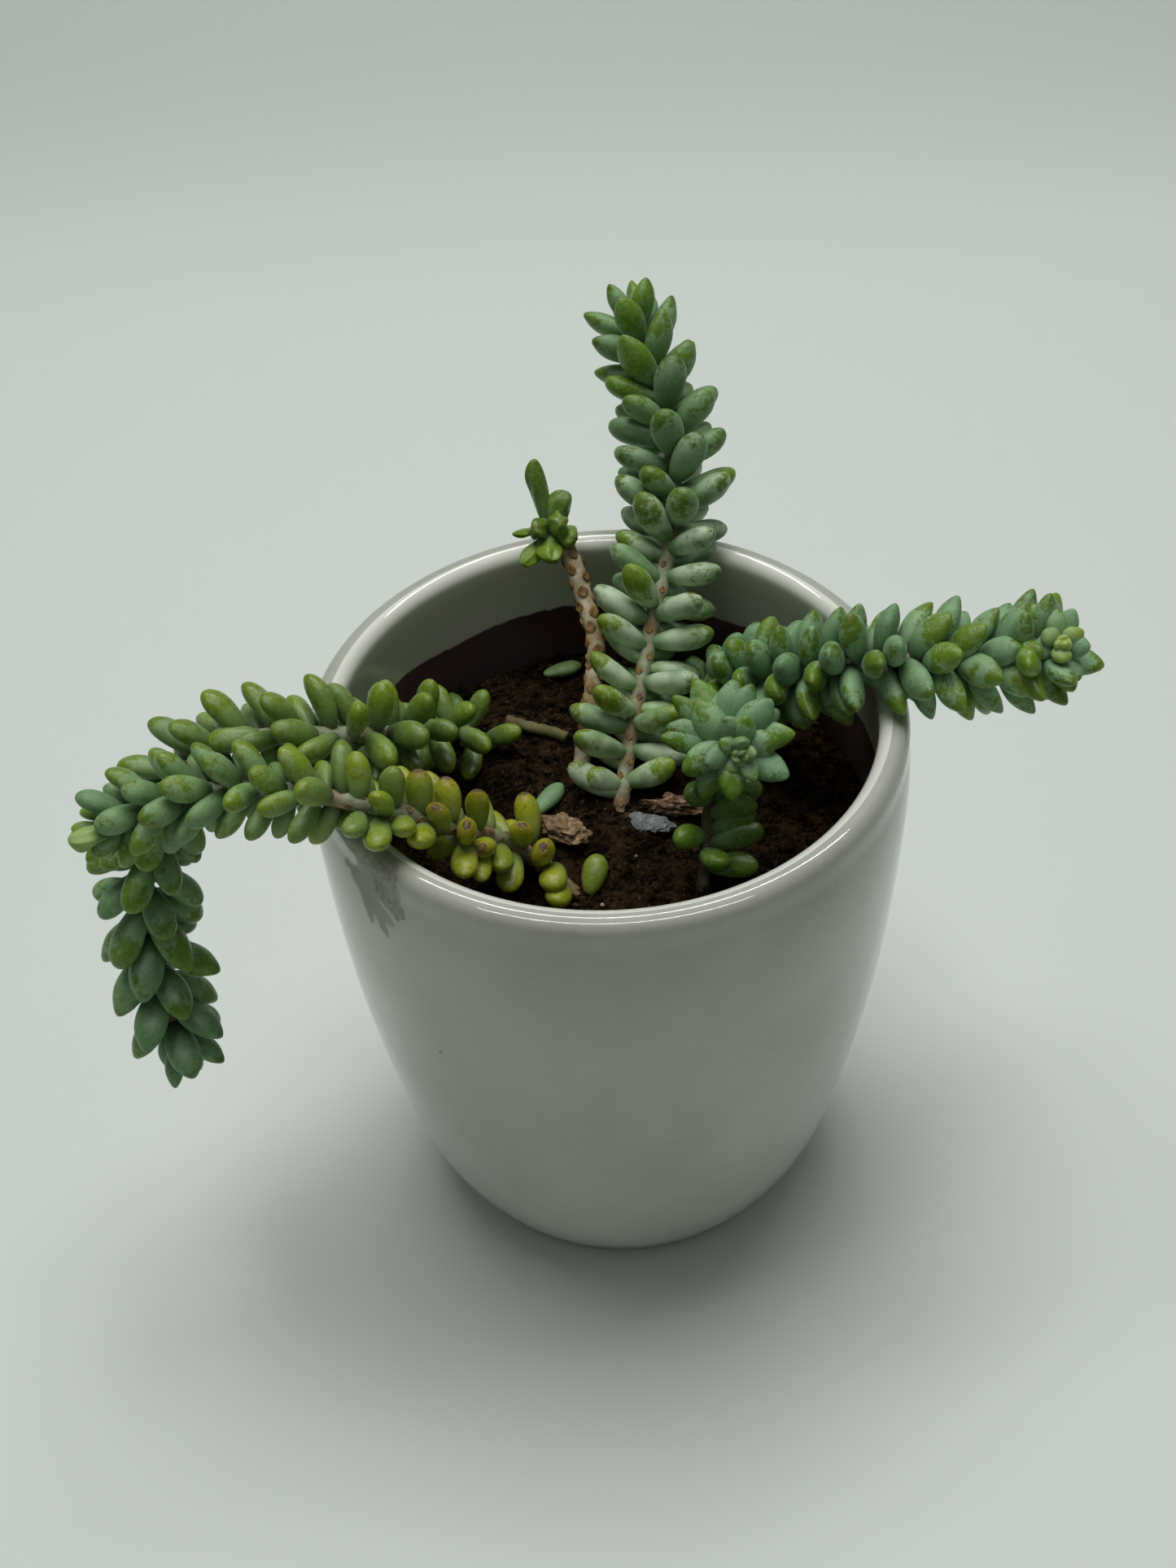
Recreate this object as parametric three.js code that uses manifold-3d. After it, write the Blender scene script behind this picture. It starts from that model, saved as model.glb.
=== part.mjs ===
// Potted burro's tail: a glazed pot, its soil, four leafy tails, a short rosette stem,
// a bare stem with a small tuft, and the dry bits and fallen leaves that lie on the soil.
// Millimetres, +Z up. The origin is the middle of the pot's flat foot.
import * as THREE from 'three';
import { mergeVertices } from 'three/addons/utils/BufferGeometryUtils.js';
import Module from 'manifold-3d';

const wasm = await Module();
wasm.setup();

// ---- pot ----
const rimRadius = 62.5;
const potHeight = 139;
const lipRadius = 3.25;
const wallThickness = 6.4;
const floorThickness = 9;
const footRadius = 44.3;
const footBevel = 1.2;
const potSides = 42;
// outside radius at each height, from the foot to just under the lip
const potOutside = [[48.2, 8.3], [52.9, 20.9], [56.9, 41.7], [60.7, 69.5], [62.8, 97.3],
  [63.5, 121]];
const insideFloor = [[44, 13.5], [40, floorThickness]];   // where the inside wall meets the floor
const lipArcSteps = 5;

// ---- soil ----
const soilLevel = 109.5;
const soilGap = 0.3;
const soilCornerGap = 0.25;  // more gap below, where the wall curves between two heights
const soilBodyHeights = [70, 42, 21, 14, floorThickness + soilGap];
const soilRings = 7;
const soilSides = 28;

// ---- fits ----
const seatGap = 0.3;       // air between a piece and what carries it
const leafGap = 0.4;       // least air between leaves of two stems, and between leaf and pot
const goldenAngle = THREE.MathUtils.degToRad(137.508);

// ---- stems ----
// route: points on the stem from its root in the soil to its tip
// firstLeaf: length of bare stem from the root; spacing: stem length for each leaf
// swell: share of leaf size, and lean: angle of a leaf from square to the stem towards its tip,
// each at the root end and at the outer end
// bareSide: the side that has lost its leaves, up to the share bareUntil of the stem, within
// the angle whose cosine is bareCone
// placed: leaves set one by one, each with its root, tip and width; facing: where their flat
// sides look
const upperFront = [0, -0.72, 0.69];   // the side that is bared
const stems = [
  {
    name: 'rosette_stem', color: 0x6a9650, seed: 53, radius: 1.7,
    route: [[17.5, -28, 102], [18.4, -24.8, 109], [19.4, -20, 117], [20.6, -15, 125],
      [21.9, -11.4, 132], [22.8, -10.8, 137], [23.6, -13.8, 140.2], [25.9, -21.5, 143]],
    facing: [0.226, -0.863, 0.452],
    // up the stem first, then the rosette from its outside in
    placed: [
      [[18.8, -23, 112.4], [29.8, -23.4, 114.4], 6.2], [[19.2, -21, 115.3], [21.4, -29.4, 119.3], 6.4],
      [[19.3, -20.5, 116.2], [31.2, -19.8, 119.4], 6.4], [[19.6, -19.2, 118.3], [29.6, -17.6, 122.4], 6.4],
      [[20, -17.4, 121.2], [28.9, -17.2, 127.7], 6.4], [[19.5, -19.5, 117.8], [13, -23.4, 122.7], 5.8],
      [[20.5, -15.5, 124.2], [31, -14.6, 127.4], 6.2], [[20.5, -15.5, 124.2], [16.4, -19.7, 132.3], 6],
      [[24.1, -14.6, 139.4], [24.6, -6.6, 148.7], 7], [[24.1, -14.6, 139.4], [17.8, -6.2, 148.7], 6.4],
      [[24.1, -14.6, 139.4], [36.8, -14.1, 141.9], 6.2], [[24.1, -14.6, 139.4], [17.5, -21.2, 132.1], 6.2],
      [[24.1, -14.6, 139.4], [11.1, -13.8, 139.7], 5.8], [[24.1, -14.6, 139.4], [12.9, -10.8, 143], 6],
      [[24.1, -14.6, 139.4], [13.3, -8.4, 145.8], 5.2], [[24.1, -14.6, 139.4], [28.6, -7.3, 148.1], 6.2],
      [[24.1, -14.6, 139.4], [34.2, -11.5, 144.3], 5.6], [[24.7, -16.8, 140.6], [32, -11.3, 147.8], 7.2],
      [[24.7, -16.8, 140.6], [34.9, -22.3, 136.4], 6.6], [[24.7, -16.8, 140.6], [17, -11.1, 146.5], 7],
      [[24.7, -16.8, 140.6], [14.5, -18.9, 137.8], 7], [[25.2, -18.7, 141.6], [22.6, -17.1, 149.2], 6.2],
      [[25.2, -18.7, 141.6], [18.7, -23.3, 143.8], 5.2], [[25.2, -18.7, 141.6], [33.5, -18.6, 142.9], 6.2],
      [[25.2, -18.7, 141.6], [22.7, -25.3, 134.6], 6.6], [[25.2, -18.7, 141.6], [28, -18.4, 149.2], 5.4],
      [[25.5, -20.1, 142.3], [26, -21.4, 147.3], 4], [[25.5, -20.1, 142.3], [29.2, -23.4, 143.9], 3.4],
      [[25.5, -20.1, 142.3], [29.1, -24.4, 138.6], 3.8], [[25.5, -20.1, 142.3], [23.2, -23.7, 138.4], 4],
      [[25.5, -20.1, 142.3], [21.8, -20.9, 145.8], 4.4]],
  },
  {
    name: 'bare_stem', color: 0xa08a5c, seed: 67, radius: 2.1,
    route: [[-7, 8, 102], [-6, 12.6, 110.1], [-3.4, 22.6, 118.2], [-1.7, 34.2, 126.5],
      [-3.7, 41.5, 132.4], [-6, 47.2, 139.6], [-8.7, 50.6, 143.6], [-12.4, 53.5, 146]],
    facing: upperFront,
    placed: [
      [[-11.8, 53.1, 145.6], [-14.3, 59.6, 159.6], 4.8], [[-10.8, 52.2, 145.2], [-7.3, 56.8, 152.8], 6.4],
      [[-10.8, 52.2, 145.2], [-4.6, 48, 145], 6], [[-10.8, 52.2, 145.2], [-16.4, 43.9, 140.6], 5.2],
      [[-10.8, 52.2, 145.2], [-11.9, 43.4, 141.9], 6.6], [[-12, 53, 145.5], [-19.4, 46.5, 147.4], 2.2],
      [[-10.8, 52.2, 145.2], [-15.1, 47.8, 149.5], 5.6], [[-10.8, 52.2, 145.2], [-7.8, 48.1, 150.7], 6.2]],
  },
  {
    name: 'tail_front_left', color: 0x7f9a3f, seed: 11, radius: 1.8,
    route: [[-5.5, -27.5, 102], [-9, -25, 108.5], [-15, -21.4, 114], [-22, -21.7, 121.5],
      [-29.4, -27.6, 131], [-36.4, -32.7, 140], [-43.3, -36, 146.5], [-50.6, -36.4, 149.5],
      [-61.5, -33.9, 150], [-72.6, -32.2, 149.5], [-82.3, -31.9, 148], [-92, -33, 145],
      [-98, -34.2, 142]],
    facing: [0, -0.4, 0.9],
    placed: [[[-9.8, -24.5, 109.6], [-8.4, -29.8, 116.3], 5.6],
      [[-10.9, -23.9, 110.2], [-13.6, -27.2, 118.7], 5.8],
      [[-11.8, -23.3, 111.1], [-17.9, -30.1, 114.4], 5.6], [[-12.8, -22.7, 112], [-7.4, -25.4, 118.2], 5.4]],
    firstLeaf: 8, spacing: [1.8, 1.65], leafLength: 10.6, leafWidth: 6,
    swell: [0.94, 1.04], lean: [2, 30],
  },
  {
    name: 'tail_left_hanging', color: 0x5d8460, seed: 23, radius: 1.8,
    route: [[-25, 24, 101], [-27.2, 21.3, 109], [-32.5, 14.5, 120], [-39, 3.8, 131],
      [-45.6, -9.1, 141], [-52.6, -15.4, 147], [-63.4, -16.9, 149], [-73.3, -16.8, 147.5],
      [-82.5, -17.9, 143], [-91, -18.7, 134], [-96, -21.7, 121], [-98.6, -24, 107],
      [-98.6, -27, 95], [-97.4, -31, 84], [-95.6, -35, 76]],
    firstLeaf: 12, spacing: [2, 2.35], leafLength: 11.8, leafWidth: 6.8,
    swell: [0.8, 1.2], lean: [8, 40],
  },
  {
    name: 'tail_upright', color: 0x6f9a6c, seed: 37, radius: 1.9,
    route: [[1.2, -8.2, 102], [2.3, -1.6, 111.2], [4, 6.8, 116.8], [6.5, 15.6, 123.1],
      [9, 24.5, 129.4], [11.9, 34.2, 136.5], [14.8, 42.6, 142.3], [16.5, 49.7, 148.2],
      [17.3, 56.8, 154.1], [16.9, 64, 160.6], [15.2, 71, 166.6], [12.8, 77.6, 172.2],
      [9.6, 84.6, 179]],
    facing: upperFront,
    placed: [[[2.5, -0.6, 112.2], [-9, 3.4, 117.8], 6.2], [[2.9, 0.8, 113], [-5.2, 0.8, 118], 6],
      [[3, 1.9, 113.6], [14.6, 0.8, 118.2], 6.2]],
    firstLeaf: 9, spacing: [1.7, 1.7], leafLength: 11.8, leafWidth: 6.8,
    swell: [1.04, 1.08], lean: [-6, 30], tipScale: 0.5,
    bareSide: upperFront, bareUntil: 0.55, bareCone: 0.82,
  },
  {
    name: 'tail_right', color: 0x6c9a80, seed: 41, radius: 1.8,
    route: [[23, 29, 101], [24.9, 26.1, 109], [28.2, 22.5, 121], [33.4, 15.2, 130.5],
      [42.6, 7.6, 138], [50, 3.6, 143], [57, 0.6, 146.3], [66.7, -0.8, 147],
      [79.3, -0.8, 146.2], [84.5, -1.5, 147.5], [88.5, -4, 151.3], [90, -8, 155.6]],
    facing: [0.1, -0.76, 0.64],
    // the young rosette at its tip, from its outside in
    placed: [
      [[89.2, -3.6, 151.7], [88, 2.3, 159.7], 5.8], [[89.2, -3.6, 151.7], [92.2, -10.8, 145.8], 6],
      [[89, -3.6, 151.7], [82.7, 1.7, 156.9], 6.2], [[89.2, -3.6, 151.7], [86.4, -8.9, 145.7], 6.2],
      [[89, -3.6, 151.7], [81.2, -4.5, 153.8], 6.2], [[89.5, -5.4, 153.2], [84.6, 0, 158.6], 5.4],
      [[89.5, -5.4, 153.2], [95.6, -8.4, 154.2], 5.2], [[89.5, -5.4, 153.2], [82.7, -7.9, 148.5], 5.8],
      [[89.5, -5.4, 153.2], [92.7, -11.1, 148.5], 5.4], [[89.5, -5.4, 153.2], [93.2, -2.2, 159.3], 4.8],
      [[89.8, -6.9, 154.6], [88.8, -2.5, 159.8], 4.6], [[89.8, -6.9, 154.6], [93.9, -5.9, 157.7], 4.2],
      [[89.8, -6.9, 154.6], [89.5, -11.5, 154.2], 4.2]],
    endMargin: 6.5,
    firstLeaf: 14, spacing: [1.8, 1.7], leafLength: 11.4, leafWidth: 6.6,
    swell: [1, 1], lean: [10, 16],
  },
];
const tipZone = 9;         // stem length over which leaves shrink and close up at the tip
const tipLean = 76;
const tipScale = 0.34;
const tipCrowding = 0.45;
const endMargin = 0.6;
const leafThickness = 0.8; // of its width
const leafCurl = 0.1;      // how far its tip turns towards the stem's tip, of its length
const sizeScatter = 0.16;
const turnScatter = 0.16;
const leanScatter = 12;
const holeReach = 22;      // length of stem, from its root, that the soil is cleared round
const holeGap = 0.6;
const stemSides = 5;
const stemStep = 6;
const holeStep = 3;

// ---- what lies on the soil: middle x, y; length, width, thickness; turn and pitch in degrees
const lying = [
  { name: 'fallen_leaf_pale', color: 0x7ca585, at: [-13.8, 0.2], size: [10.5, 5, 4.2], turn: 50, pitch: 8 },
  { name: 'fallen_leaf_back', color: 0x6b7560, at: [-10.2, 46], size: [9.5, 4.6, 3.4], turn: 18, pitch: 0 },
  { name: 'fallen_leaf_green', color: 0x6d9430, at: [-4.2, -23], size: [9, 6, 5.4], turn: 70, pitch: 35 },
  { name: 'fallen_leaf_left', color: 0x55823a, at: [-34.5, 34], size: [9, 4.6, 4], turn: 120, pitch: 12 },
  { name: 'dry_leaf_skin', color: 0x8f928c, at: [8.6, -8.4], size: [12, 6.5, 1.8], turn: -32, pitch: 6 },
  { name: 'dried_stub_left', color: 0x8a7350, at: [-10.2, -10.6], size: [13, 7.5, 5], turn: -40, pitch: 10 },
  { name: 'dried_stub_right', color: 0x9a7a56, at: [14.2, -4.6], size: [13, 4.4, 4.2], turn: -18, pitch: 12 },
];
const lyingHeight = 0.38;    // of its thickness, from the soil to its middle
const oldStem = {
  name: 'old_stem', color: 0x7c6f42, radius: 1.5, height: 0.7,
  route: [[-23, 27.5], [-17.8, 24.4], [-12.6, 21.4], [-8.6, 19.2]],
};

const rad = THREE.MathUtils.degToRad;

// A small repeatable random source, the same in any language.
function makeRandom(seed) {
  let state = seed;
  return () => {
    state = (state * 1664525 + 1013904223) % 4294967296;
    return state / 4294967296;
  };
}

// ---- solids ----
function toSolid(geometry) {
  const bare = geometry.index ? geometry.toNonIndexed() : geometry.clone();
  bare.deleteAttribute('normal');
  bare.deleteAttribute('uv');
  const merged = mergeVertices(bare, 1e-4);
  return new wasm.Manifold(new wasm.Mesh({
    numProp: 3,
    vertProperties: new Float32Array(merged.attributes.position.array),
    triVerts: new Uint32Array(merged.index.array),
  }));
}

// Joins solids in pairs, so that no step joins one small piece to a very large one.
function joinAll(solids) {
  let level = solids;
  while (level.length > 1) {
    const next = [];
    for (let i = 0; i < level.length; i += 2) {
      next.push(i + 1 < level.length ? level[i].add(level[i + 1]) : level[i]);
    }
    level = next;
  }
  return level[0];
}

// The outer body alone: closed pockets between leaves are filled and loose scraps dropped.
function mainBody(solid) {
  return solid.decompose().sort((a, b) => b.volume() - a.volume())[0];
}

function toMesh(name, color, solid, roughness = 0.55) {
  const mesh = solid.getMesh();
  const geometry = new THREE.BufferGeometry();
  geometry.setAttribute('position', new THREE.BufferAttribute(mesh.vertProperties, 3));
  geometry.setIndex(new THREE.BufferAttribute(mesh.triVerts, 1));
  geometry.computeVertexNormals();
  const material = new THREE.MeshStandardMaterial({ color, roughness, metalness: 0 });
  const node = new THREE.Mesh(geometry, material);
  node.name = name;
  return node;
}

// ---- pot ----
const wallHeights = potOutside.slice(1).reverse();
const insideWall = [...wallHeights.map(([r, z]) => [r - wallThickness, z]), ...insideFloor];

function potProfile() {
  const lipCentre = [rimRadius - lipRadius, potHeight - lipRadius];
  const points = [[0, 0], [footRadius - footBevel, 0], [footRadius, footBevel], ...potOutside];
  for (let i = 0; i <= lipArcSteps; i += 1) {
    const angle = Math.PI * i / lipArcSteps;
    points.push([lipCentre[0] + lipRadius * Math.cos(angle), lipCentre[1] + lipRadius * Math.sin(angle)]);
  }
  return [...points, ...insideWall, [0, floorThickness]];
}

function potSolid() {
  const profile = potProfile().map(([r, z]) => new THREE.Vector2(r, z));
  return toSolid(new THREE.LatheGeometry(profile, potSides).rotateX(Math.PI / 2));
}

// The middle of the wall from the lip down, as radius and height, for clearances.
const wallMiddle = [[rimRadius - lipRadius, potHeight - lipRadius],
  ...wallHeights.map(([r, z]) => [r - wallThickness / 2, z])];

function insideRadius(z) {
  const wall = [[rimRadius - 2 * lipRadius, potHeight - lipRadius], ...insideWall];
  for (let i = 0; i + 1 < wall.length; i += 1) {
    const [upper, lower] = [wall[i], wall[i + 1]];
    if (z >= lower[1]) {
      return lower[0] + (upper[0] - lower[0]) * (z - lower[1]) / (upper[1] - lower[1]);
    }
  }
  return wall[wall.length - 1][0];
}

// ---- soil ----
function soilTop(x, y) {
  const mound = 1.6 * Math.exp(-(x * x + y * y) / 900) - 0.0006 * (x * x + y * y);
  const lumps = 0.9 * Math.sin(0.13 * x + 1) * Math.cos(0.11 * y);
  return soilLevel + mound + lumps + 0.5 * Math.sin(0.24 * x - 0.19 * y + 2);
}

// A disc of rings and spokes with the lumpy top, on a body that fills the pot.
function soilSolid() {
  const rows = [];
  const edgeRadius = insideRadius(soilLevel) - soilGap;
  for (let ring = 1; ring <= soilRings; ring += 1) {
    const radius = edgeRadius * ring / soilRings;
    rows.push({ radius, height: (x, y) => soilTop(x, y) });
  }
  for (const z of soilBodyHeights) {
    rows.push({ radius: insideRadius(z) - soilGap - soilCornerGap, height: () => z });
  }
  const positions = [0, 0, soilTop(0, 0)];
  for (const row of rows) {
    for (let side = 0; side < soilSides; side += 1) {
      const angle = 2 * Math.PI * side / soilSides;
      const [x, y] = [row.radius * Math.cos(angle), row.radius * Math.sin(angle)];
      positions.push(x, y, row.height(x, y));
    }
  }
  positions.push(0, 0, floorThickness + soilGap);
  const index = [];
  const at = (row, side) => 1 + row * soilSides + (side % soilSides);
  const bottom = positions.length / 3 - 1;
  for (let side = 0; side < soilSides; side += 1) {
    index.push(0, at(0, side), at(0, side + 1));
    for (let row = 0; row + 1 < rows.length; row += 1) {
      index.push(at(row, side), at(row + 1, side), at(row + 1, side + 1));
      index.push(at(row, side), at(row + 1, side + 1), at(row, side + 1));
    }
    index.push(at(rows.length - 1, side), bottom, at(rows.length - 1, side + 1));
  }
  const geometry = new THREE.BufferGeometry();
  geometry.setAttribute('position', new THREE.Float32BufferAttribute(positions, 3));
  geometry.setIndex(index);
  return toSolid(geometry);
}

// ---- stem routes ----
// A route as evenly spaced samples: place, direction and a side vector carried along it.
function sampleRoute(points, count = 240) {
  const knots = points.map((p) => new THREE.Vector3(...p));
  const curve = new THREE.CatmullRomCurve3(knots, false, 'catmullrom', 0.5);
  const fine = [];
  for (let i = 0; i <= count * 4; i += 1) {
    fine.push(curve.getPoint(i / (count * 4)));
  }
  const lengths = [0];
  for (let i = 1; i < fine.length; i += 1) {
    lengths.push(lengths[i - 1] + fine[i].distanceTo(fine[i - 1]));
  }
  const total = lengths[lengths.length - 1];
  const placeAt = (s) => {
    let i = 1;
    while (i < fine.length - 1 && lengths[i] < s) {
      i += 1;
    }
    const share = (s - lengths[i - 1]) / (lengths[i] - lengths[i - 1]);
    return fine[i - 1].clone().lerp(fine[i], share);
  };
  const samples = [];
  let side = null;
  for (let i = 0; i <= count; i += 1) {
    const place = placeAt(total * i / count);
    const ahead = placeAt(Math.min(total, total * (i + 0.5) / count));
    const behind = placeAt(Math.max(0, total * (i - 0.5) / count));
    const along = ahead.sub(behind).normalize();
    side = side || new THREE.Vector3(1, 0, 0).cross(along);
    side = side.clone().addScaledVector(along, -side.dot(along)).normalize();
    samples.push({ place, along, side, across: along.clone().cross(side) });
  }
  return { samples, total };
}

function routeAt(route, s) {
  const position = THREE.MathUtils.clamp(s / route.total, 0, 1) * (route.samples.length - 1);
  const low = Math.min(Math.floor(position), route.samples.length - 2);
  const [a, b] = [route.samples[low], route.samples[low + 1]];
  const share = position - low;
  return {
    place: a.place.clone().lerp(b.place, share),
    along: a.along.clone().lerp(b.along, share).normalize(),
    side: a.side.clone().lerp(b.side, share).normalize(),
    across: a.across.clone().lerp(b.across, share).normalize(),
  };
}

// Part of a route as a three.js curve; it runs straight on past the route's ends.
class RouteCurve extends THREE.Curve {
  constructor(route, from, to) {
    super();
    Object.assign(this, { route, from, to });
  }

  getPoint(t) {
    const s = this.from + (this.to - this.from) * t;
    const inside = THREE.MathUtils.clamp(s, 0, this.route.total);
    const { place, along } = routeAt(this.route, inside);
    return place.addScaledVector(along, s - inside);
  }
}

function tubeSolid(route, from, to, radius, step = stemStep) {
  const outline = new THREE.Shape();
  for (let i = 0; i < stemSides; i += 1) {
    const angle = 2 * Math.PI * i / stemSides;
    outline[i ? 'lineTo' : 'moveTo'](radius * Math.cos(angle), radius * Math.sin(angle));
  }
  outline.closePath();
  return toSolid(new THREE.ExtrudeGeometry(outline, {
    steps: Math.max(2, Math.round((to - from) / step)),
    bevelEnabled: false,
    extrudePath: new RouteCurve(route, from, to),
  }));
}

// ---- leaves ----
// A plump leaf: a sphere of few faces drawn out from a root in the stem to a blunt tip.
const leafRings = [[0, 0], [0.34, 0.58], [0.76, 1], [1, 0]];   // place along it, share of its width

function leafSolid(leaf) {
  const sphere = new THREE.SphereGeometry(1, 5, 3);
  const position = sphere.attributes.position;
  const whole = leaf.length + leaf.inset;
  const point = new THREE.Vector3();
  for (let i = 0; i < position.count; i += 1) {
    point.fromBufferAttribute(position, i);
    const ring = leafRings[Math.round(Math.acos(THREE.MathUtils.clamp(-point.y, -1, 1)) / (Math.PI / 3))];
    const girth = Math.hypot(point.x, point.z) || 1;
    const half = ring[1] * leaf.width / 2;
    const place = leaf.root.clone()
      .addScaledVector(leaf.direction, whole * ring[0])
      .addScaledVector(leaf.up, leaf.curl * leaf.length * ring[0] ** 2)
      .addScaledVector(leaf.across, half * point.x / girth)
      .addScaledVector(leaf.up, half * leafThickness * point.z / girth);
    position.setXYZ(i, place.x, place.y, place.z);
  }
  return toSolid(sphere);
}

// Balls that stand for a leaf when clearances are worked out: share along it, share of width.
const leafBalls = [[0.05, 0.26], [0.24, 0.34], [0.45, 0.47], [0.72, 0.47], [0.95, 0.2]];

function ballsOf(leaf) {
  const whole = leaf.length + leaf.inset;
  return leafBalls.map(([share, girth]) => ({
    centre: leaf.root.clone().addScaledVector(leaf.direction, whole * share)
      .addScaledVector(leaf.up, leaf.curl * leaf.length * share ** 2),
    radius: girth * leaf.width,
  }));
}

function distanceToWall(centre) {
  const rho = Math.hypot(centre.x, centre.y);
  let best = Infinity;
  for (let i = 0; i + 1 < wallMiddle.length; i += 1) {
    const [[r0, z0], [r1, z1]] = [wallMiddle[i], wallMiddle[i + 1]];
    const share = THREE.MathUtils.clamp(
      ((rho - r0) * (r1 - r0) + (centre.z - z0) * (z1 - z0)) / ((r1 - r0) ** 2 + (z1 - z0) ** 2), 0, 1);
    best = Math.min(best, Math.hypot(rho - r0 - share * (r1 - r0), centre.z - z0 - share * (z1 - z0)));
  }
  return best - wallThickness / 2;
}

function isClear(leaf, obstacles) {
  return ballsOf(leaf).every(({ centre, radius }) => {
    const overSoil = Math.hypot(centre.x, centre.y) > insideRadius(soilLevel)
      || centre.z - soilTop(centre.x, centre.y) > radius + leafGap;
    return overSoil && distanceToWall(centre) > radius + leafGap
      && obstacles.every((ball) => centre.distanceTo(ball.centre) > radius + ball.radius + leafGap);
  });
}

// A leaf at distance s along a stem, turned round it by an angle.
function makeLeaf(stem, route, s, turn, lean, scale) {
  const { place, along, side, across } = routeAt(route, s);
  const radial = side.clone().multiplyScalar(Math.cos(turn)).addScaledVector(across, Math.sin(turn));
  const direction = radial.clone().multiplyScalar(Math.cos(rad(lean)));
  direction.addScaledVector(along, Math.sin(rad(lean)));
  const up = along.clone().multiplyScalar(Math.cos(rad(lean))).addScaledVector(radial, -Math.sin(rad(lean)));
  return {
    root: place, direction, up, radial,
    across: direction.clone().cross(up),
    inset: stem.radius * 0.9,
    length: stem.leafLength * scale,
    width: stem.leafWidth * scale,
    curl: leafCurl,
  };
}

// A leaf set one by one, from its own root to its own tip.
function placedLeaf(stem, [root, tip, width]) {
  const reach = new THREE.Vector3(...tip).sub(new THREE.Vector3(...root));
  const length = reach.length();
  const direction = reach.normalize();
  const facing = new THREE.Vector3(...stem.facing);
  const up = facing.addScaledVector(direction, -facing.dot(direction)).normalize();
  return {
    root: new THREE.Vector3(...root), direction, up,
    across: direction.clone().cross(up),
    inset: 0, length, width, curl: leafCurl,
  };
}

// The ways a leaf gives way when something is near: more lean, then a little shorter.
const giveWay = [[0, 1], [14, 1], [28, 0.95], [-16, 0.95], [42, 0.85], [-32, 0.85]];

function placeLeaves(stem, route, obstacles) {
  const leaves = (stem.placed ?? []).map((leaf) => placedLeaf(stem, leaf));
  if (!stem.spacing) {
    return leaves;
  }
  const random = makeRandom(stem.seed);
  let turn = random() * 2 * Math.PI;
  let s = stem.firstLeaf;
  while (s < route.total - (stem.endMargin ?? endMargin)) {
    const share = s / route.total;
    const tip = THREE.MathUtils.clamp((route.total - s) / tipZone, 0, 1);
    const grownLean = THREE.MathUtils.lerp(stem.lean[0], stem.lean[1], share);
    const lean = tipLean + (grownLean - tipLean) * Math.sqrt(tip);
    const smallest = stem.tipScale ?? tipScale;
    const scale = THREE.MathUtils.lerp(stem.swell[0], stem.swell[1], share)
      * (smallest + (1 - smallest) * Math.sqrt(tip)) * (1 + (random() - 0.5) * sizeScatter);
    const wobble = (random() - 0.5) * leanScatter;
    for (const [more, shorter] of giveWay) {
      const leaf = makeLeaf(stem, route, s, turn, lean + wobble + more, scale * shorter);
      const bared = stem.bareSide && share < stem.bareUntil
        && leaf.radial.dot(new THREE.Vector3(...stem.bareSide)) > stem.bareCone;
      if (!bared && isClear(leaf, obstacles)) {
        leaves.push(leaf);
        break;
      }
    }
    turn += goldenAngle + (random() - 0.5) * turnScatter;
    const spacing = THREE.MathUtils.lerp(stem.spacing[0], stem.spacing[1], share);
    s += spacing * (tipCrowding + (1 - tipCrowding) * tip);
  }
  return leaves;
}

// ---- assembly ----
const plant = new THREE.Group();
plant.name = 'potted_burros_tail';
plant.add(toMesh('pot', 0xd9dad4, potSolid(), 0.25));

let soil = soilSolid();
const routes = stems.map((stem) => sampleRoute(stem.route));

// Every stem keeps its place, so each is an obstacle to the leaves of the others.
function stemBalls(stem, route) {
  const balls = [];
  for (let s = stem.radius * 3; s < route.total; s += stem.radius) {
    balls.push({ centre: routeAt(route, s).place, radius: stem.radius });
  }
  return balls;
}

// What lies on the soil is pressed a little into it, so its middle is below half its thickness.
function lyingPlace(item) {
  const [x, y] = item.at;
  return new THREE.Vector3(x, y, soilTop(x, y) + item.size[2] * lyingHeight);
}

function lyingSolid(item, grow) {
  const [length, width, thickness] = item.size.map((value) => value + 2 * grow);
  const sphere = new THREE.SphereGeometry(0.5, 7, 5);
  sphere.rotateZ(Math.PI / 2);
  sphere.scale(length, width, thickness);
  sphere.rotateY(-rad(item.pitch));
  sphere.rotateZ(rad(item.turn));
  const { x, y, z } = lyingPlace(item);
  sphere.translate(x, y, z);
  return toSolid(sphere);
}

function lyingBalls(item) {
  const { x, y, z } = lyingPlace(item);
  return [-0.3, 0, 0.3].map((share) => ({
    centre: new THREE.Vector3(x + share * item.size[0] * Math.cos(rad(item.turn)),
      y + share * item.size[0] * Math.sin(rad(item.turn)), z),
    radius: item.size[1] / 2,
  }));
}

const placed = [];
stems.forEach((stem, index) => {
  const obstacles = [...placed];
  stems.forEach((other, otherIndex) => {
    if (otherIndex !== index) {
      obstacles.push(...stemBalls(other, routes[otherIndex]));
    }
  });
  lying.forEach((item) => obstacles.push(...lyingBalls(item)));
  const leaves = placeLeaves(stem, routes[index], obstacles);
  leaves.forEach((leaf) => placed.push(...ballsOf(leaf)));
  const tube = tubeSolid(routes[index], 0, routes[index].total, stem.radius);
  plant.add(toMesh(stem.name, stem.color, mainBody(joinAll([tube, ...leaves.map(leafSolid)]))));
  soil = soil.subtract(tubeSolid(routes[index], -seatGap, holeReach, stem.radius + holeGap, holeStep));
});

for (const item of lying) {
  plant.add(toMesh(item.name, item.color, lyingSolid(item, 0)));
  soil = soil.subtract(lyingSolid(item, seatGap));
}

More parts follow.
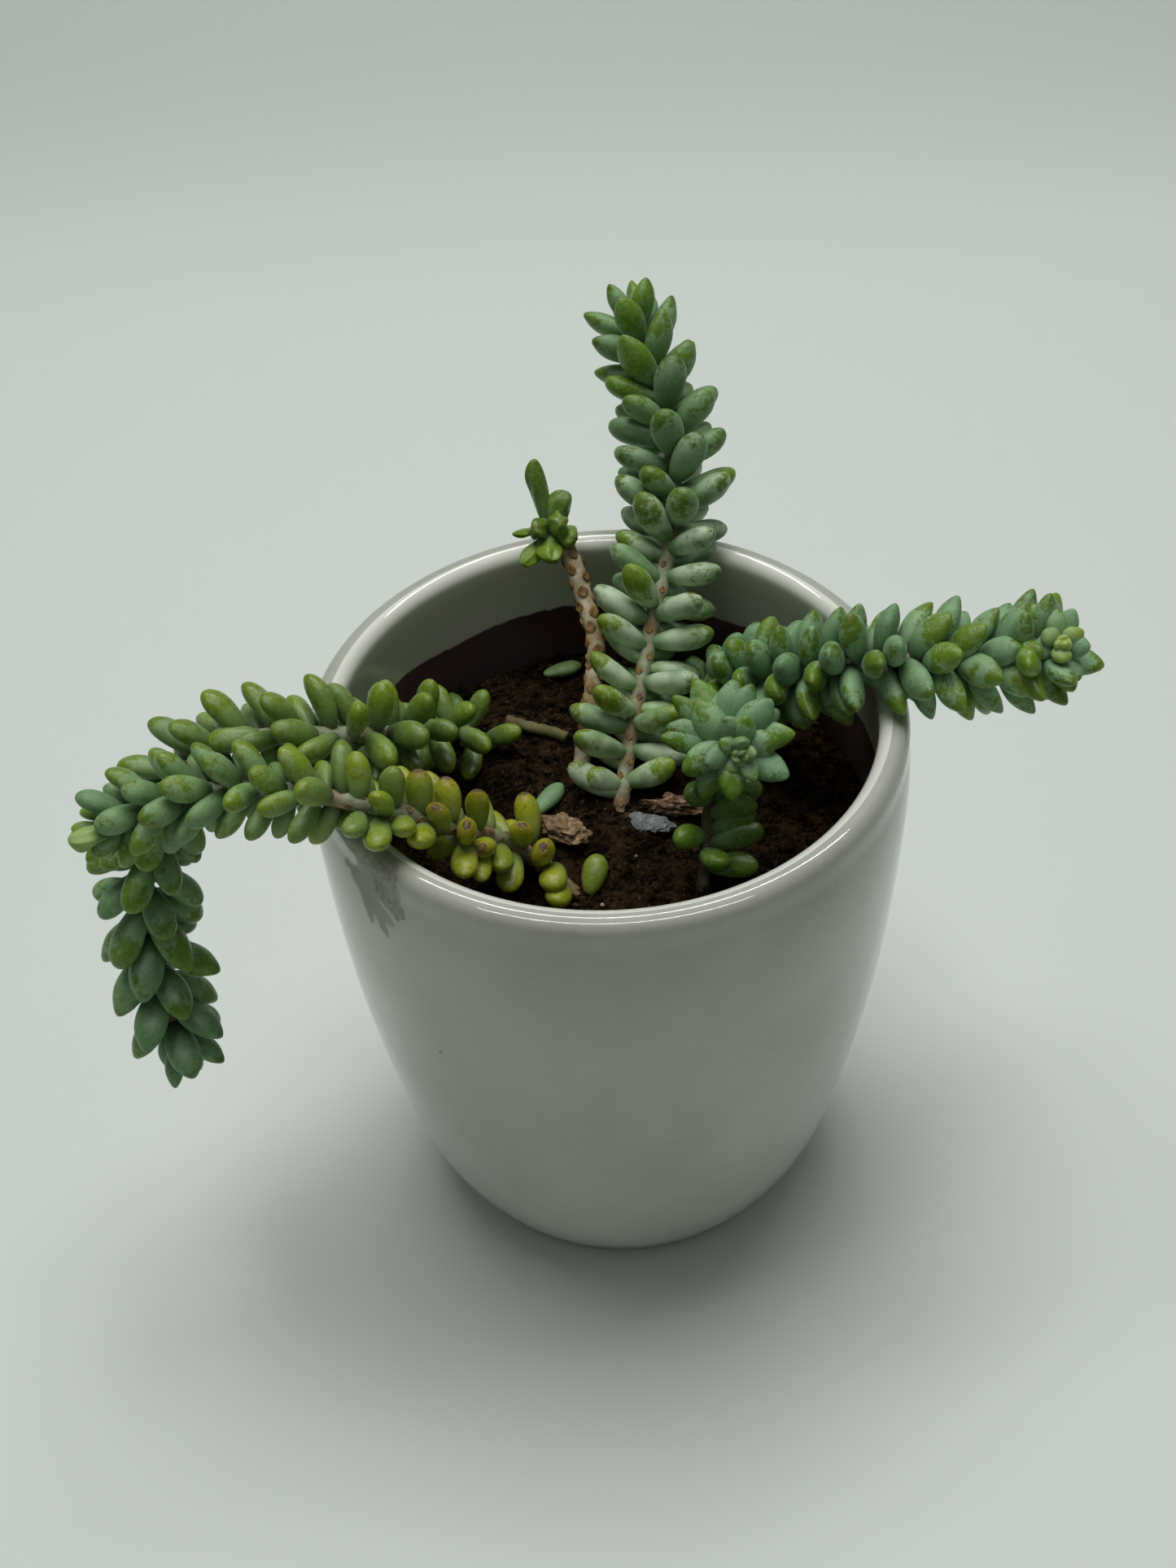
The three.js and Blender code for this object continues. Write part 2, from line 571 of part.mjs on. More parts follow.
const oldStemLift = oldStem.radius * oldStem.height;
const oldRoute = sampleRoute(oldStem.route.map(([x, y]) => [x, y, soilTop(x, y) + oldStemLift]));
plant.add(toMesh(oldStem.name, oldStem.color, tubeSolid(oldRoute, 0, oldRoute.total, oldStem.radius)));
soil = soil.subtract(tubeSolid(oldRoute, -seatGap, oldRoute.total + seatGap, oldStem.radius + seatGap));

plant.add(toMesh('soil', 0x2e231b, mainBody(soil), 0.95));

export default plant;
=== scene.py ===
import math

import bmesh
import bpy
import numpy as np
from mathutils import Matrix, Vector, noise


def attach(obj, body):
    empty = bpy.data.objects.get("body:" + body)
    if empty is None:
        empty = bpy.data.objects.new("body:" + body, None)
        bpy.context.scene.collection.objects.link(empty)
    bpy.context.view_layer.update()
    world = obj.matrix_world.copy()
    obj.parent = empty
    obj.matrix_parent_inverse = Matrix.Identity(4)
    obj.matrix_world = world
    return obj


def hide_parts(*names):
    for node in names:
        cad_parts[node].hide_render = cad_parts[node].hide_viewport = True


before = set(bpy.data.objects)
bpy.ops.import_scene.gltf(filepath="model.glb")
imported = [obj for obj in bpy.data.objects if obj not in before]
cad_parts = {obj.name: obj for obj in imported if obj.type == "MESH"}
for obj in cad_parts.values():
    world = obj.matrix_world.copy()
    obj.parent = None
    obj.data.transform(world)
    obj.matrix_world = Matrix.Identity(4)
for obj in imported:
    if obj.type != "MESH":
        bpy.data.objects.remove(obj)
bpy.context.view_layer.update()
mm = 0.001
print("frame loaded")


def colour(red, green, blue):      # screen values, 0 to 255
    def linear(value):
        share = value / 255
        return share / 12.92 if share <= 0.04045 else ((share + 0.055) / 1.055) ** 2.4
    return (linear(red), linear(green), linear(blue), 1)


class Wire:
    def __init__(self, recipe, socket):
        self.recipe = recipe
        self.socket = socket

    def maths(self, kind, first, second):
        return self.recipe.add("Math", {"operation": kind}, {0: first, 1: second})

    def __add__(self, other):
        return self.maths("ADD", self, other)

    def __radd__(self, other):
        return self.maths("ADD", other, self)

    def __sub__(self, other):
        return self.maths("SUBTRACT", self, other)

    def __rsub__(self, other):
        return self.maths("SUBTRACT", other, self)

    def __mul__(self, other):
        return self.maths("MULTIPLY", self, other)

    def __rmul__(self, other):
        return self.maths("MULTIPLY", other, self)

    def __truediv__(self, other):
        return self.maths("DIVIDE", self, other)

    def __pow__(self, other):
        return self.maths("POWER", self, other)


class Recipe:
    def __init__(self, name):
        self.material = bpy.data.materials.new(name)
        self.material.use_nodes = True
        self.tree = self.material.node_tree
        self.tree.nodes.clear()
        self.where = self.add("TexCoord", out=3)

    def add(self, kind, settings=None, sockets=None, out=0):
        node = self.tree.nodes.new("ShaderNode" + kind)
        for key, value in (settings or {}).items():
            setattr(node, key, value)
        for key, value in (sockets or {}).items():
            if isinstance(value, Wire):
                self.tree.links.new(value.socket, node.inputs[key])
            else:
                node.inputs[key].default_value = value
        return Wire(self, node.outputs[out])

    def attribute(self, name):
        return self.add("Attribute", {"attribute_name": name}, out=2)

    def noise(self, scale, detail=3, rough=0.55):
        return self.add("TexNoise", None, {"Vector": self.where, "Scale": scale,
                                           "Detail": detail, "Roughness": rough})

    def rise(self, value, low, high, top=1.0, bottom=0.0):
        return self.add("MapRange", {"interpolation_type": "SMOOTHSTEP"},
                        {"Value": value, "From Min": low, "From Max": high,
                         "To Min": bottom, "To Max": top})

    def patches(self, scale, detail, low, high, rough=0.55):
        return self.rise(self.noise(scale, detail, rough), low, high)

    def fall(self, value, low, high):
        return self.rise(value, low, high, top=0.0, bottom=1.0)

    def larger(self, first, second):
        return self.add("Math", {"operation": "MAXIMUM"}, {0: first, 1: second})

    def mix(self, factor, first, second):
        return self.add("Mix", {"data_type": "RGBA"}, {0: factor, 6: first, 7: second}, out=2)

    def parts(self, vector):      # the three numbers that make up a vector
        split = self.add("SeparateXYZ", None, {0: vector}).socket.node
        return [Wire(self, socket) for socket in split.outputs]

    def bump(self, height, strength, distance):
        return self.add("Bump", None, {"Strength": strength, "Distance": distance, "Height": height})

    def finish(self, sockets):
        shader = self.add("BsdfPrincipled", None, sockets)
        output = self.tree.nodes.new("ShaderNodeOutputMaterial")
        self.tree.links.new(shader.socket, output.inputs["Surface"])
        return self.material


def pickNothing():
    if bpy.context.object and bpy.context.object.mode != "OBJECT":
        objectMode()
    bpy.ops.object.select_all(action="DESELECT")


def pick(*objects):
    pickNothing()
    for item in objects:
        item.select_set(True)
    bpy.context.view_layer.objects.active = objects[0]


def named(name):
    item = bpy.context.object
    item.name = name
    item.data.name = name
    return item


def editing(item):
    pick(item)
    bpy.ops.object.mode_set(mode="EDIT")
    bpy.context.tool_settings.mesh_select_mode = (True, False, False)
    bpy.ops.mesh.select_all(action="DESELECT")


def chooseAll():
    bpy.ops.mesh.select_all(action="SELECT")


def choose(item, test):      # selects the points that pass the test
    sketch = bmesh.from_edit_mesh(item.data)
    for point in sketch.verts:
        point.select = bool(test(point.co))
    sketch.select_flush_mode()
    bmesh.update_edit_mesh(item.data)


def objectMode():
    bpy.ops.object.mode_set(mode="OBJECT")


def settle(item):
    pick(item)
    bpy.ops.object.transform_apply(location=True, rotation=True, scale=True)


def addModifier(item, kind, **values):
    modifier = item.modifiers.new(kind.title(), kind)
    for key, value in values.items():
        setattr(modifier, key, value)
    return modifier


def subdivide(item, levels, apply=False):
    modifier = addModifier(item, "SUBSURF", levels=levels, render_levels=levels)
    if apply:
        pick(item)
        bpy.ops.object.modifier_apply(modifier=modifier.name)


def pointsOf(item):
    flat = np.zeros(len(item.data.vertices) * 3)
    item.data.vertices.foreach_get("co", flat)
    return flat.reshape(-1, 3)


def setPoints(item, points):
    item.data.vertices.foreach_set("co", np.asarray(points, np.float32).ravel())
    item.data.update()


def stamp(item, **values):      # one number for each point, kept on the mesh for the material
    count = len(item.data.vertices)
    for name, value in values.items():
        layer = item.data.attributes.get(name) or item.data.attributes.new(name, "FLOAT", "POINT")
        layer.data.foreach_set("value", np.broadcast_to(np.asarray(value, np.float32), count).copy())


def copyOf(item, name):
    twin = item.copy()
    twin.data = item.data.copy()
    twin.name = name
    bpy.context.collection.objects.link(twin)
    return twin


def joined(name, items):
    pick(*items)
    if len(items) > 1:
        bpy.ops.object.join()
    return named(name)


def discard(*items):
    for item in items:
        data = item.data
        bpy.data.objects.remove(item)
        bpy.data.meshes.remove(data)


def dress(item, *materials):
    item.data.materials.clear()
    for material in materials:
        item.data.materials.append(material)


def smooth(item):
    pick(item)
    bpy.ops.object.shade_smooth()


def outward(item):
    editing(item)
    chooseAll()
    bpy.ops.mesh.remove_doubles(threshold=1e-6)
    bpy.ops.mesh.normals_make_consistent(inside=False)
    objectMode()


pot = {
    "height": 139, "rim": 62.5, "lip": 3.25, "wall": 6.4, "floor": 9, "foot": 44.3, "footEdge": 1.2,
    "outside": [[48.2, 8.3], [52.9, 20.9], [56.9, 41.7], [60.7, 69.5], [62.8, 97.3], [63.5, 121]],
    "insideFoot": [[44, 13.5], [40, 9]],
    "groove": [[63.2, 127.6], [62.85, 130.4], [62.62, 131.8], [62.55, 133]],
    "base": [0, 15, 30, 41.5], "footRound": [0.7, 0.05], "floorRing": 20,
    "turns": 96, "profileStep": 5.5, "lipSteps": 11,
    "glazeEdge": 119.5, "glazedInside": 58.5, "clayFrom": 75,
    "worn": [[[-41.3, -39.2, 145.5], 5.5], [[-39.8, -40.6, 140], 4.4], [[-38.2, -42, 135.5], 3.2]],
}
wallHeights = [[r - pot["wall"], z] for r, z in reversed(pot["outside"][1:])]
insideWall = wallHeights + pot["insideFoot"]


def chained(points):      # with one more point past either end
    points = [np.array(point, float) for point in points]
    return [2 * points[0] - points[1], *points, 2 * points[-1] - points[-2]]


def onCurve(before, start, end, after, t):      # a place on the soft curve from start to end
    lean, turn = (end - before) / 2, (after - start) / 2
    return (start + lean * t + (3 * (end - start) - 2 * lean - turn) * t * t
            + (2 * (start - end) + lean + turn) * t ** 3)


def smoothLine(points, step):      # evenly spaced points on a soft curve through the given ones
    chain = chained(points)
    line = []
    for knots in zip(chain, chain[1:], chain[2:], chain[3:]):
        pieces = max(1, round(np.linalg.norm(knots[2] - knots[1]) / step))
        line += [onCurve(*knots, i / pieces) for i in range(pieces)]
    return [*line, chain[-2]]


def turned(name, profile, turns):      # a profile of radius and height spun about the upright axis
    pickNothing()
    bpy.ops.mesh.primitive_plane_add(size=0.001, location=(profile[0][0] * mm, 0, profile[0][1] * mm))
    item = named(name)
    settle(item)
    editing(item)
    chooseAll()
    bpy.ops.mesh.merge(type="CENTER")
    chooseAll()
    for (r0, z0), (r1, z1) in zip(profile, profile[1:]):
        bpy.ops.mesh.extrude_region_move(
            TRANSFORM_OT_translate={"value": ((r1 - r0) * mm, 0, (z1 - z0) * mm)})
    chooseAll()
    bpy.ops.mesh.spin(steps=turns, angle=2 * math.pi, center=(0, 0, 0), axis=(0, 0, 1))
    objectMode()
    outward(item)
    return item


def glazeMaterial():
    r = Recipe("whiteGlaze")
    x, y, z = r.parts(r.where)
    radius = (x * x + y * y) ** 0.5
    cloud = r.noise(26, 4)
    fine = r.noise(420, 2)
    shade = r.mix(r.rise(cloud, 0.35, 0.7), colour(178, 180, 172), colour(166, 168, 159))
    aged = r.rise(z, 0.05, 0.105) * r.patches(14, 3, 0.32, 0.62)
    shade = r.mix(aged * 0.5, shade, colour(168, 168, 152))
    shade = r.mix(r.rise(fine, 0.45, 0.8) * 0.25, shade, colour(188, 188, 176))
    # a worn drip that runs down from the rim on the front left
    wobble = r.add("TexNoise", None, {"Vector": r.where, "Scale": 150, "Detail": 4}, out=1)
    shifted = r.add("VectorMath", {"operation": "MULTIPLY_ADD"},
                    {0: wobble, 1: (0.007, 0.007, 0.012), 2: r.where})

    drips = []
    for point, reach in pot["worn"]:
        gap = r.add("VectorMath", {"operation": "DISTANCE"},
                    {0: shifted, 1: [value * mm for value in point]}, out=1)
        drips.append(r.fall(gap, reach * 0.95 * mm, reach * mm))
    worn = r.larger(r.larger(drips[0], drips[1]), drips[2])
    grit = r.mix(r.patches(900, 4, 0.4, 0.6), colour(122, 120, 106), colour(160, 160, 148))
    shade = r.mix(worn * 0.55, shade, grit)
    # pin holes and dirt
    cells = {"Vector": r.where, "Scale": 85}
    toCentre = r.add("TexVoronoi", {"feature": "F1"}, cells)
    chance = r.parts(r.add("TexVoronoi", {"feature": "F1"}, cells, out=1))[0]
    pins = r.fall(toCentre, 0.035, 0.06) * r.rise(chance, 0.8, 0.82)
    shade = r.mix(pins * 0.7, shade, colour(98, 84, 62))
    # inside, the glaze stops at an uneven line and the bare clay shows
    edge = pot["glazeEdge"] * mm + 0.006 * (r.noise(24, 3) - 0.5) + 0.0025 * (r.noise(130, 3) - 0.5)
    inner = (r.fall(radius, pot["glazedInside"] * mm, (pot["glazedInside"] + 0.3) * mm)
             * r.rise(z, pot["clayFrom"] * mm, (pot["clayFrom"] + 5) * mm))
    bare = inner * r.fall(z - edge, -0.0004, 0.0002)
    rimLine = inner * r.fall(z - edge, 0.0, 0.0016)
    clay = r.mix(r.patches(70, 4, 0.3, 0.7), colour(84, 34, 14), colour(50, 22, 11))
    clay = r.mix(r.fall(z, 0.108, 0.114) * 0.7, clay, colour(38, 24, 15))
    shade = r.mix(rimLine * 0.7, shade, colour(70, 62, 48))
    # painted light: the glaze on the inside wall is painted much lighter, standing in for light that
    # reaches down inside the pot
    shade = r.mix(inner * 0.9, shade, colour(236, 237, 226))
    shade = r.mix(bare, shade, clay)
    under = r.fall(z, 0.0003, 0.0009)
    shade = r.mix(under, shade, colour(168, 104, 70))
    rough = 0.5 + 0.1 * r.rise(cloud, 0.4, 0.75) + worn * 0.25 + bare * 0.5 + under * 0.5
    gloss = (1 - bare) * (1 - under) * (1 - worn * 0.7)
    height = (r.noise(38, 2) * 1.0 + r.noise(240, 2) * 0.1 + r.noise(1100, 2) * 0.035
              - worn * 0.12 - pins * 0.35)
    return r.finish({"Base Color": shade, "Roughness": rough, "IOR": 1.5,
                     "Coat Weight": gloss, "Coat Roughness": 0.045, "Coat IOR": 1.42,
                     "Normal": r.bump(height, 0.25, 0.001)})


lipMiddle = [pot["rim"] - pot["lip"], pot["height"] - pot["lip"]]
lipArc = [[lipMiddle[0] + pot["lip"] * math.cos(a), lipMiddle[1] + pot["lip"] * math.sin(a)]
          for a in np.linspace(0, math.pi, pot["lipSteps"])]
outsideLine = smoothLine([[pot["foot"], pot["footEdge"]], *pot["outside"], *pot["groove"], lipArc[0]],
                         pot["profileStep"])
insideLine = smoothLine([lipArc[-1], *insideWall], pot["profileStep"])
footRing = [pot["foot"] - pot["footRound"][0], pot["footRound"][1]]
potProfile = [*[[r, 0] for r in pot["base"]], footRing, *outsideLine, *lipArc[1:-1], *insideLine,
              [pot["floorRing"], pot["floor"]], [0, pot["floor"]]]
glazedPot = turned("glazedPot", potProfile, pot["turns"])
smooth(glazedPot)
subdivide(glazedPot, 1)
dress(glazedPot, glazeMaterial())
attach(glazedPot, "root")
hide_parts("pot")
print("pot turned")

soil = {
    "level": 109.5, "gap": 0.3, "rings": 30, "spokes": 96,
    "mound": 1.6, "moundSpread": 900, "dish": 0.0006, "waves": 0.9, "ripples": 0.5,
    "drop": 0.4, "lumps": 0.9, "lumpScale": 0.16, "lumpEdge": 3,
    "skirt": [70, 42, 21, 14], "skirtGap": 0.25, "wallBand": 0.2,
}


def soilTop(x, y):
    square = x * x + y * y
    mound = soil["mound"] * math.exp(-square / soil["moundSpread"]) - soil["dish"] * square
    waves = soil["waves"] * math.sin(0.13 * x + 1) * math.cos(0.11 * y)
    return soil["level"] + mound + waves + soil["ripples"] * math.sin(0.24 * x - 0.19 * y + 2)


def bedHeight(x, y, share=1):      # the finer lumps on top of it, and how much of them shows
    lump = noise.fractal(Vector((x, y, 3)) * soil["lumpScale"], 0.8, 2, 5)
    return soilTop(x, y) - soil["drop"] + soil["lumps"] * lump * share


def insideRadius(z):
    wall = [[lipMiddle[0] - pot["lip"], lipMiddle[1]], *insideWall]
    for (upperR, upperZ), (lowerR, lowerZ) in zip(wall, wall[1:]):
        if z >= lowerZ:
            return lowerR + (upperR - lowerR) * (z - lowerZ) / (upperZ - lowerZ)
    return wall[-1][0]


# each stem's route, the leaves placed one by one (a root, then each leaf's tip and width) and the
# numbers by which the others grow along it
tails = {
    "rosetteStem": {
        "node": "rosette_stem", "slot": "leaf_mid_green", "seed": 53, "radius": 1.4,
        "route": [[17.5, -28, 102], [18.4, -24.8, 109], [19.4, -20, 117], [20.6, -15, 125],
                  [21.9, -11.4, 132], [22.8, -10.8, 137], [23.6, -13.8, 140.2], [25.9, -21.5, 143]],
        "facing": [0.226, -0.863, 0.452],
        "placed": [      # up the stem, then the rosette from its outside in
            [[18.8, -23, 112.4], [29.8, -23.4, 114.4, 6.2]],
            [[19.2, -21, 115.3], [21.4, -29.4, 119.3, 6.4]],
            [[19.3, -20.5, 116.2], [31.2, -19.8, 119.4, 6.4]],
            [[19.6, -19.2, 118.3], [29.6, -17.6, 122.4, 6.4]],
            [[20, -17.4, 121.2], [28.9, -17.2, 127.7, 6.4]],
            [[19.5, -19.5, 117.8], [13, -23.4, 122.7, 5.8]],
            [[20.5, -15.5, 124.2], [31, -14.6, 127.4, 6.2], [16.4, -19.7, 132.3, 6]],
            [[24.1, -14.6, 139.4], [24.6, -6.6, 148.7, 7], [17.8, -6.2, 148.7, 6.4],
             [36.8, -14.1, 141.9, 6.2], [17.5, -21.2, 132.1, 6.2], [11.1, -13.8, 139.7, 5.8],
             [12.9, -10.8, 143, 6], [13.3, -8.4, 145.8, 5.2], [28.6, -7.3, 148.1, 6.2],
             [34.2, -11.5, 144.3, 5.6]],
            [[24.7, -16.8, 140.6], [32, -11.3, 147.8, 7.2], [34.9, -22.3, 136.4, 6.6],
             [17, -11.1, 146.5, 7], [14.5, -18.9, 137.8, 7]],
            [[25.2, -18.7, 141.6], [22.6, -17.1, 149.2, 6.2], [18.7, -23.3, 143.8, 5.2],
             [33.5, -18.6, 142.9, 6.2], [22.7, -25.3, 134.6, 6.6], [28, -18.4, 149.2, 5.4]],
            [[25.5, -20.1, 142.3], [26, -21.4, 147.3, 4], [29.2, -23.4, 143.9, 3.4],
             [29.1, -24.4, 138.6, 3.8], [23.2, -23.7, 138.4, 4], [21.8, -20.9, 145.8, 4.4]],
            [[25.8, -21.2, 142.8], [24.4, -22.9, 144.6, 2.4], [26.4, -23.2, 144.8, 2.4],
             [26.3, -23.2, 140.7, 2.4], [24.6, -23.8, 142.6, 2.4], [27.5, -23.5, 143.2, 2.2]]],
        "forms": [[0, "plump"], [0.6, "pointed"]],
        "bloom": [[0, 0.04], [0.55, 0.1], [0.7, 0.75], [1, 0.85]],
        "yellow": [[0, 0.1], [1, 0.05]],
        "young": 0.25, "gapShade": 0.7,
    },
    "bareStem": {
        "node": "bare_stem", "slot": "woody_stem", "seed": 67, "radius": 2.2,
        "route": [[-7, 8, 102], [-6, 12.6, 110.1], [-3.4, 22.6, 118.2], [-1.7, 34.2, 126.5],
                  [-3.7, 41.5, 132.4], [-6, 47.2, 139.6], [-8.7, 50.6, 143.6], [-12.4, 53.5, 146]],
        "facing": [0, -0.72, 0.69],
        "placed": [
            [[-11.8, 53.1, 145.6], [-14.3, 59.6, 159.6, 4.8]],
            [[-10.8, 52.2, 145.2], [-7.3, 56.8, 152.8, 6.4], [-4.6, 48, 145, 6],
             [-16.4, 43.9, 140.6, 5.2], [-11.9, 43.4, 141.9, 6.6]],
            [[-12, 53, 145.5], [-19.4, 46.5, 147.4, 2.2]],
            [[-10.8, 52.2, 145.2], [-15.1, 47.8, 149.5, 5.6], [-7.8, 48.1, 150.7, 6.2]]],
        "crumple": 0.42,
        "forms": [[0, "plump"]],
        "bloom": [[0, 0.05], [1, 0.08]],
        "yellow": [[0, 0.2], [1, 0.2]],
        "marks": [13, 61, 1.1], "markSize": 1.75,
        "young": 0, "gapShade": 0.5,
    },
    "tailFrontLeft": {
        "node": "tail_front_left", "slot": "leaf_yellow_green", "seed": 11, "radius": 1.8,
        "route": [[-5.5, -27.5, 102], [-9, -25, 108.5], [-15, -21.4, 114], [-22, -21.7, 121.5],
                  [-29.4, -27.6, 131], [-36.4, -32.7, 140], [-43.3, -36, 146.5], [-50.6, -36.4, 149.5],
                  [-61.5, -33.9, 150], [-72.6, -32.2, 149.5], [-82.3, -31.9, 148], [-92, -33, 145],
                  [-98, -34.2, 142]],
        "facing": [0, -0.4, 0.9],
        "placed": [      # the withered leaf, then those that stand up and those that face forward
            [[-94.2, -37.6, 145], [-101.6, -42.4, 147.3, 4.6]],
            [[-47.5, -37, 148.3], [-46.4, -32.1, 157.5, 5.4]],
            [[-41.6, -36, 144.8], [-41.3, -32.1, 153.9, 5.6]],
            [[-43, -37.2, 144.8], [-41.9, -38.8, 154.2, 5.2]],
            [[-36.8, -33.5, 140.2], [-36.6, -29.1, 149.7, 6]],
            [[-31.4, -29.9, 134.9], [-31.5, -25.9, 144.1, 5.6]],
            [[-26.7, -26.4, 129.2], [-26.6, -22.8, 138.4, 5.5]],
            [[-16.8, -19.8, 117.6], [-17.1, -13, 126.8, 5.8]],
            [[-33.6, -32.4, 135.8], [-32.2, -33.9, 145.2, 5.6]],
            [[-29.3, -29.2, 129.9], [-27.6, -33.5, 138.1, 5.6]],
            [[-25.7, -25.7, 125.2], [-25.2, -33.2, 130.5, 5.8]],
            [[-19.1, -21, 118.5], [-18.1, -22.6, 127.7, 5.6]],
            [[-15.3, -20.7, 114.5], [-13.4, -25.7, 122.2, 6.5]],
            [[-47.5, -37.9, 147.4], [-47.1, -47.1, 150, 5.2]],
            [[-43.3, -37.3, 145.8], [-44.6, -47.5, 145.4, 6]],
            [[-39.7, -35.1, 142.8], [-39.1, -44, 146.3, 5.4]],
            [[-36.3, -33.4, 139.2], [-36.1, -42.9, 141, 6]],
            [[-29, -29, 130.1], [-29.9, -38.8, 127.9, 6]],
            [[-26.9, -26.6, 126.7], [-26, -36.4, 124.6, 4.8]],
            [[-22.9, -23, 122.2], [-22.8, -33.1, 122.9, 6.1]],
            [[-20.2, -22.1, 119.1], [-22, -32.1, 116.7, 6.2]],
            [[-11.8, -21.2, 113.3], [-13.6, -30.2, 116.1, 6.5]],
            [[-10.6, -23.7, 110.4], [-12.1, -32.2, 113.3, 6.2]],
            [[-18.9, -20.2, 118.6], [-21.5, -11.6, 116.8, 4.6]]],
        "witheredLeaf": 0, "scarred": range(4, 13),
        "bareSide": [0, -0.72, 0.69], "bareUntil": 0.58, "bareCone": -0.2,
        "firstLeaf": 8, "spacing": [[0, 1.25], [1, 1.05]], "leafLength": 9.4, "leafWidth": 5.7,
        "swell": [0.94, 1.02], "lean": [0, 28],
        "forms": [[0, "bean"], [0.8, "plump"]],
        "bloom": [[0, 0.04], [0.4, 0.08], [0.6, 0.3], [0.75, 0.6], [1, 0.75]],
        "yellow": [[0, 1], [0.35, 0.9], [0.5, 0.5], [0.7, 0.25], [1, 0.1]],
        "young": 0.35, "gapShade": 0.8,
    },
    "tailLeftHanging": {
        "node": "tail_left_hanging", "slot": "leaf_blue_green", "seed": 23, "radius": 1.8,
        "route": [[-25, 24, 101], [-27.2, 21.3, 109], [-32.5, 14.5, 120], [-39, 3.8, 131],
                  [-45.6, -9.1, 141], [-52.6, -15.4, 147], [-63.4, -16.9, 149], [-73.3, -16.8, 147.5],
                  [-82.5, -17.9, 143], [-91, -18.7, 134], [-96, -21.7, 121], [-98.6, -24, 107],
                  [-98.6, -27, 95], [-97.4, -31, 84], [-95.6, -35, 76]],
        "firstLeaf": 12, "spacing": [[0, 2.6], [0.2, 2.3], [0.34, 1.25], [0.6, 1.35], [1, 1.85]],
        "leafLength": 11.2, "leafWidth": 6.6,
        "swell": [0.78, 1.2], "lean": [4, 40],
        "forms": [[0, "bean"], [0.4, "plump"], [0.8, "pointed"]],
        "bloom": [[0, 0.1], [0.4, 0.2], [0.6, 0.5], [0.75, 0.65], [1, 0.55]],
        "yellow": [[0, 0.3], [0.45, 0.3], [0.7, 0.1], [1, 0]],
        "marks": [9, 48, 2.1],
        "young": 0.1, "gapShade": 0.75,
    },
    "tailUpright": {
        "node": "tail_upright", "slot": "leaf_blue_green", "seed": 37, "radius": 1.9,
        "route": [[1.2, -8.2, 102], [2.3, -1.6, 111.2], [4, 6.8, 116.8], [6.5, 15.6, 123.1],
                  [9, 24.5, 129.4], [11.9, 34.2, 136.5], [14.8, 42.6, 142.3], [16.5, 49.7, 148.2],
                  [17.3, 56.8, 154.1], [16.9, 64, 160.6], [15.2, 71, 166.6], [12.8, 77.6, 172.2],
                  [9.6, 84.6, 179]],
        "facing": [0, -0.72, 0.69],
        "placed": [
            [[2.5, -0.6, 112.2], [-9, 3.4, 117.8, 6.2]], [[2.9, 0.8, 113], [-5.2, 0.8, 118, 6]],
            [[3, 1.9, 113.6], [14.6, 0.8, 118.2, 6.2]]],
        "firstLeaf": 9, "spacing": [[0, 1.1], [1, 1.3]], "leafLength": 11.5, "leafWidth": 6.9,
        "swell": [1.04, 1.08], "lean": [-6, 30], "tipScale": 0.5,
        "bareSide": [0, -0.72, 0.69], "bareUntil": 0.55, "bareCone": 0.82,
        "forms": [[0, "bean"], [0.6, "plump"], [0.85, "pointed"]],
        "bloom": [[0, 0.7], [0.5, 0.8], [0.65, 0.6], [1, 0.55]],
        "yellow": [[0, 0.3], [0.4, 0.25], [0.6, 0.1], [1, 0.05]],
        "young": 0.3, "gapShade": 0.25, "thickWax": [[0, 1], [0.56, 0.95], [0.72, 0.15], [1, 0]],
    },
    "tailRight": {
        "node": "tail_right", "slot": "leaf_blue_green", "seed": 41, "radius": 1.8,
        "route": [[23, 29, 101], [24.9, 26.1, 109], [28.2, 22.5, 121], [33.4, 15.2, 130.5],
                  [42.6, 7.6, 138], [50, 3.6, 143], [57, 0.6, 146.3], [66.7, -0.8, 147],
                  [79.3, -0.8, 146.2], [84.5, -1.5, 147.5], [88.5, -4, 151.3], [90, -8, 155.6]],
        "facing": [0.1, -0.76, 0.64],
        "placed": [      # the young rosette at its tip, from its outside in
            [[89.2, -3.6, 151.7], [88, 2.3, 159.7, 5.8], [92.2, -10.8, 145.8, 6]],
            [[89, -3.6, 151.7], [82.7, 1.7, 156.9, 6.2]], [[89.2, -3.6, 151.7], [86.4, -8.9, 145.7, 6.2]],
            [[89, -3.6, 151.7], [81.2, -4.5, 153.8, 6.2]],
            [[89.5, -5.4, 153.2], [84.6, 0, 158.6, 5.4], [95.6, -8.4, 154.2, 5.2],
             [82.7, -7.9, 148.5, 5.8], [92.7, -11.1, 148.5, 5.4], [93.2, -2.2, 159.3, 4.8]],
            [[89.8, -6.9, 154.6], [88.8, -2.5, 159.8, 4.6], [93.9, -5.9, 157.7, 4.2],
             [84.9, -6.4, 153.5, 4.8], [89.5, -11.5, 154.2, 4.2], [86.8, -6.2, 158.1, 4.4]],
            [[90, -7.8, 155.4], [89.7, -7.9, 158, 2.6], [91.5, -9.3, 156.8, 2.6],
             [89.7, -10.3, 154.9, 2.8], [88.4, -9.1, 157.1, 2.4], [90.2, -9.9, 157.4, 2.4]]],
        "endMargin": 6.5,
        "firstLeaf": 14, "spacing": [[0, 0.9], [1, 0.78]], "leafLength": 11, "leafWidth": 6.7,
        "swell": [1, 1], "lean": [10, 20],
        "forms": [[0, "plump"], [0.4, "pointed"]],
        "bloom": [[0, 0.8], [1, 0.95]],
        "yellow": [[0, 0.1], [1, 0.15]],
        "young": 1, "gapShade": 0.8,
    },
}
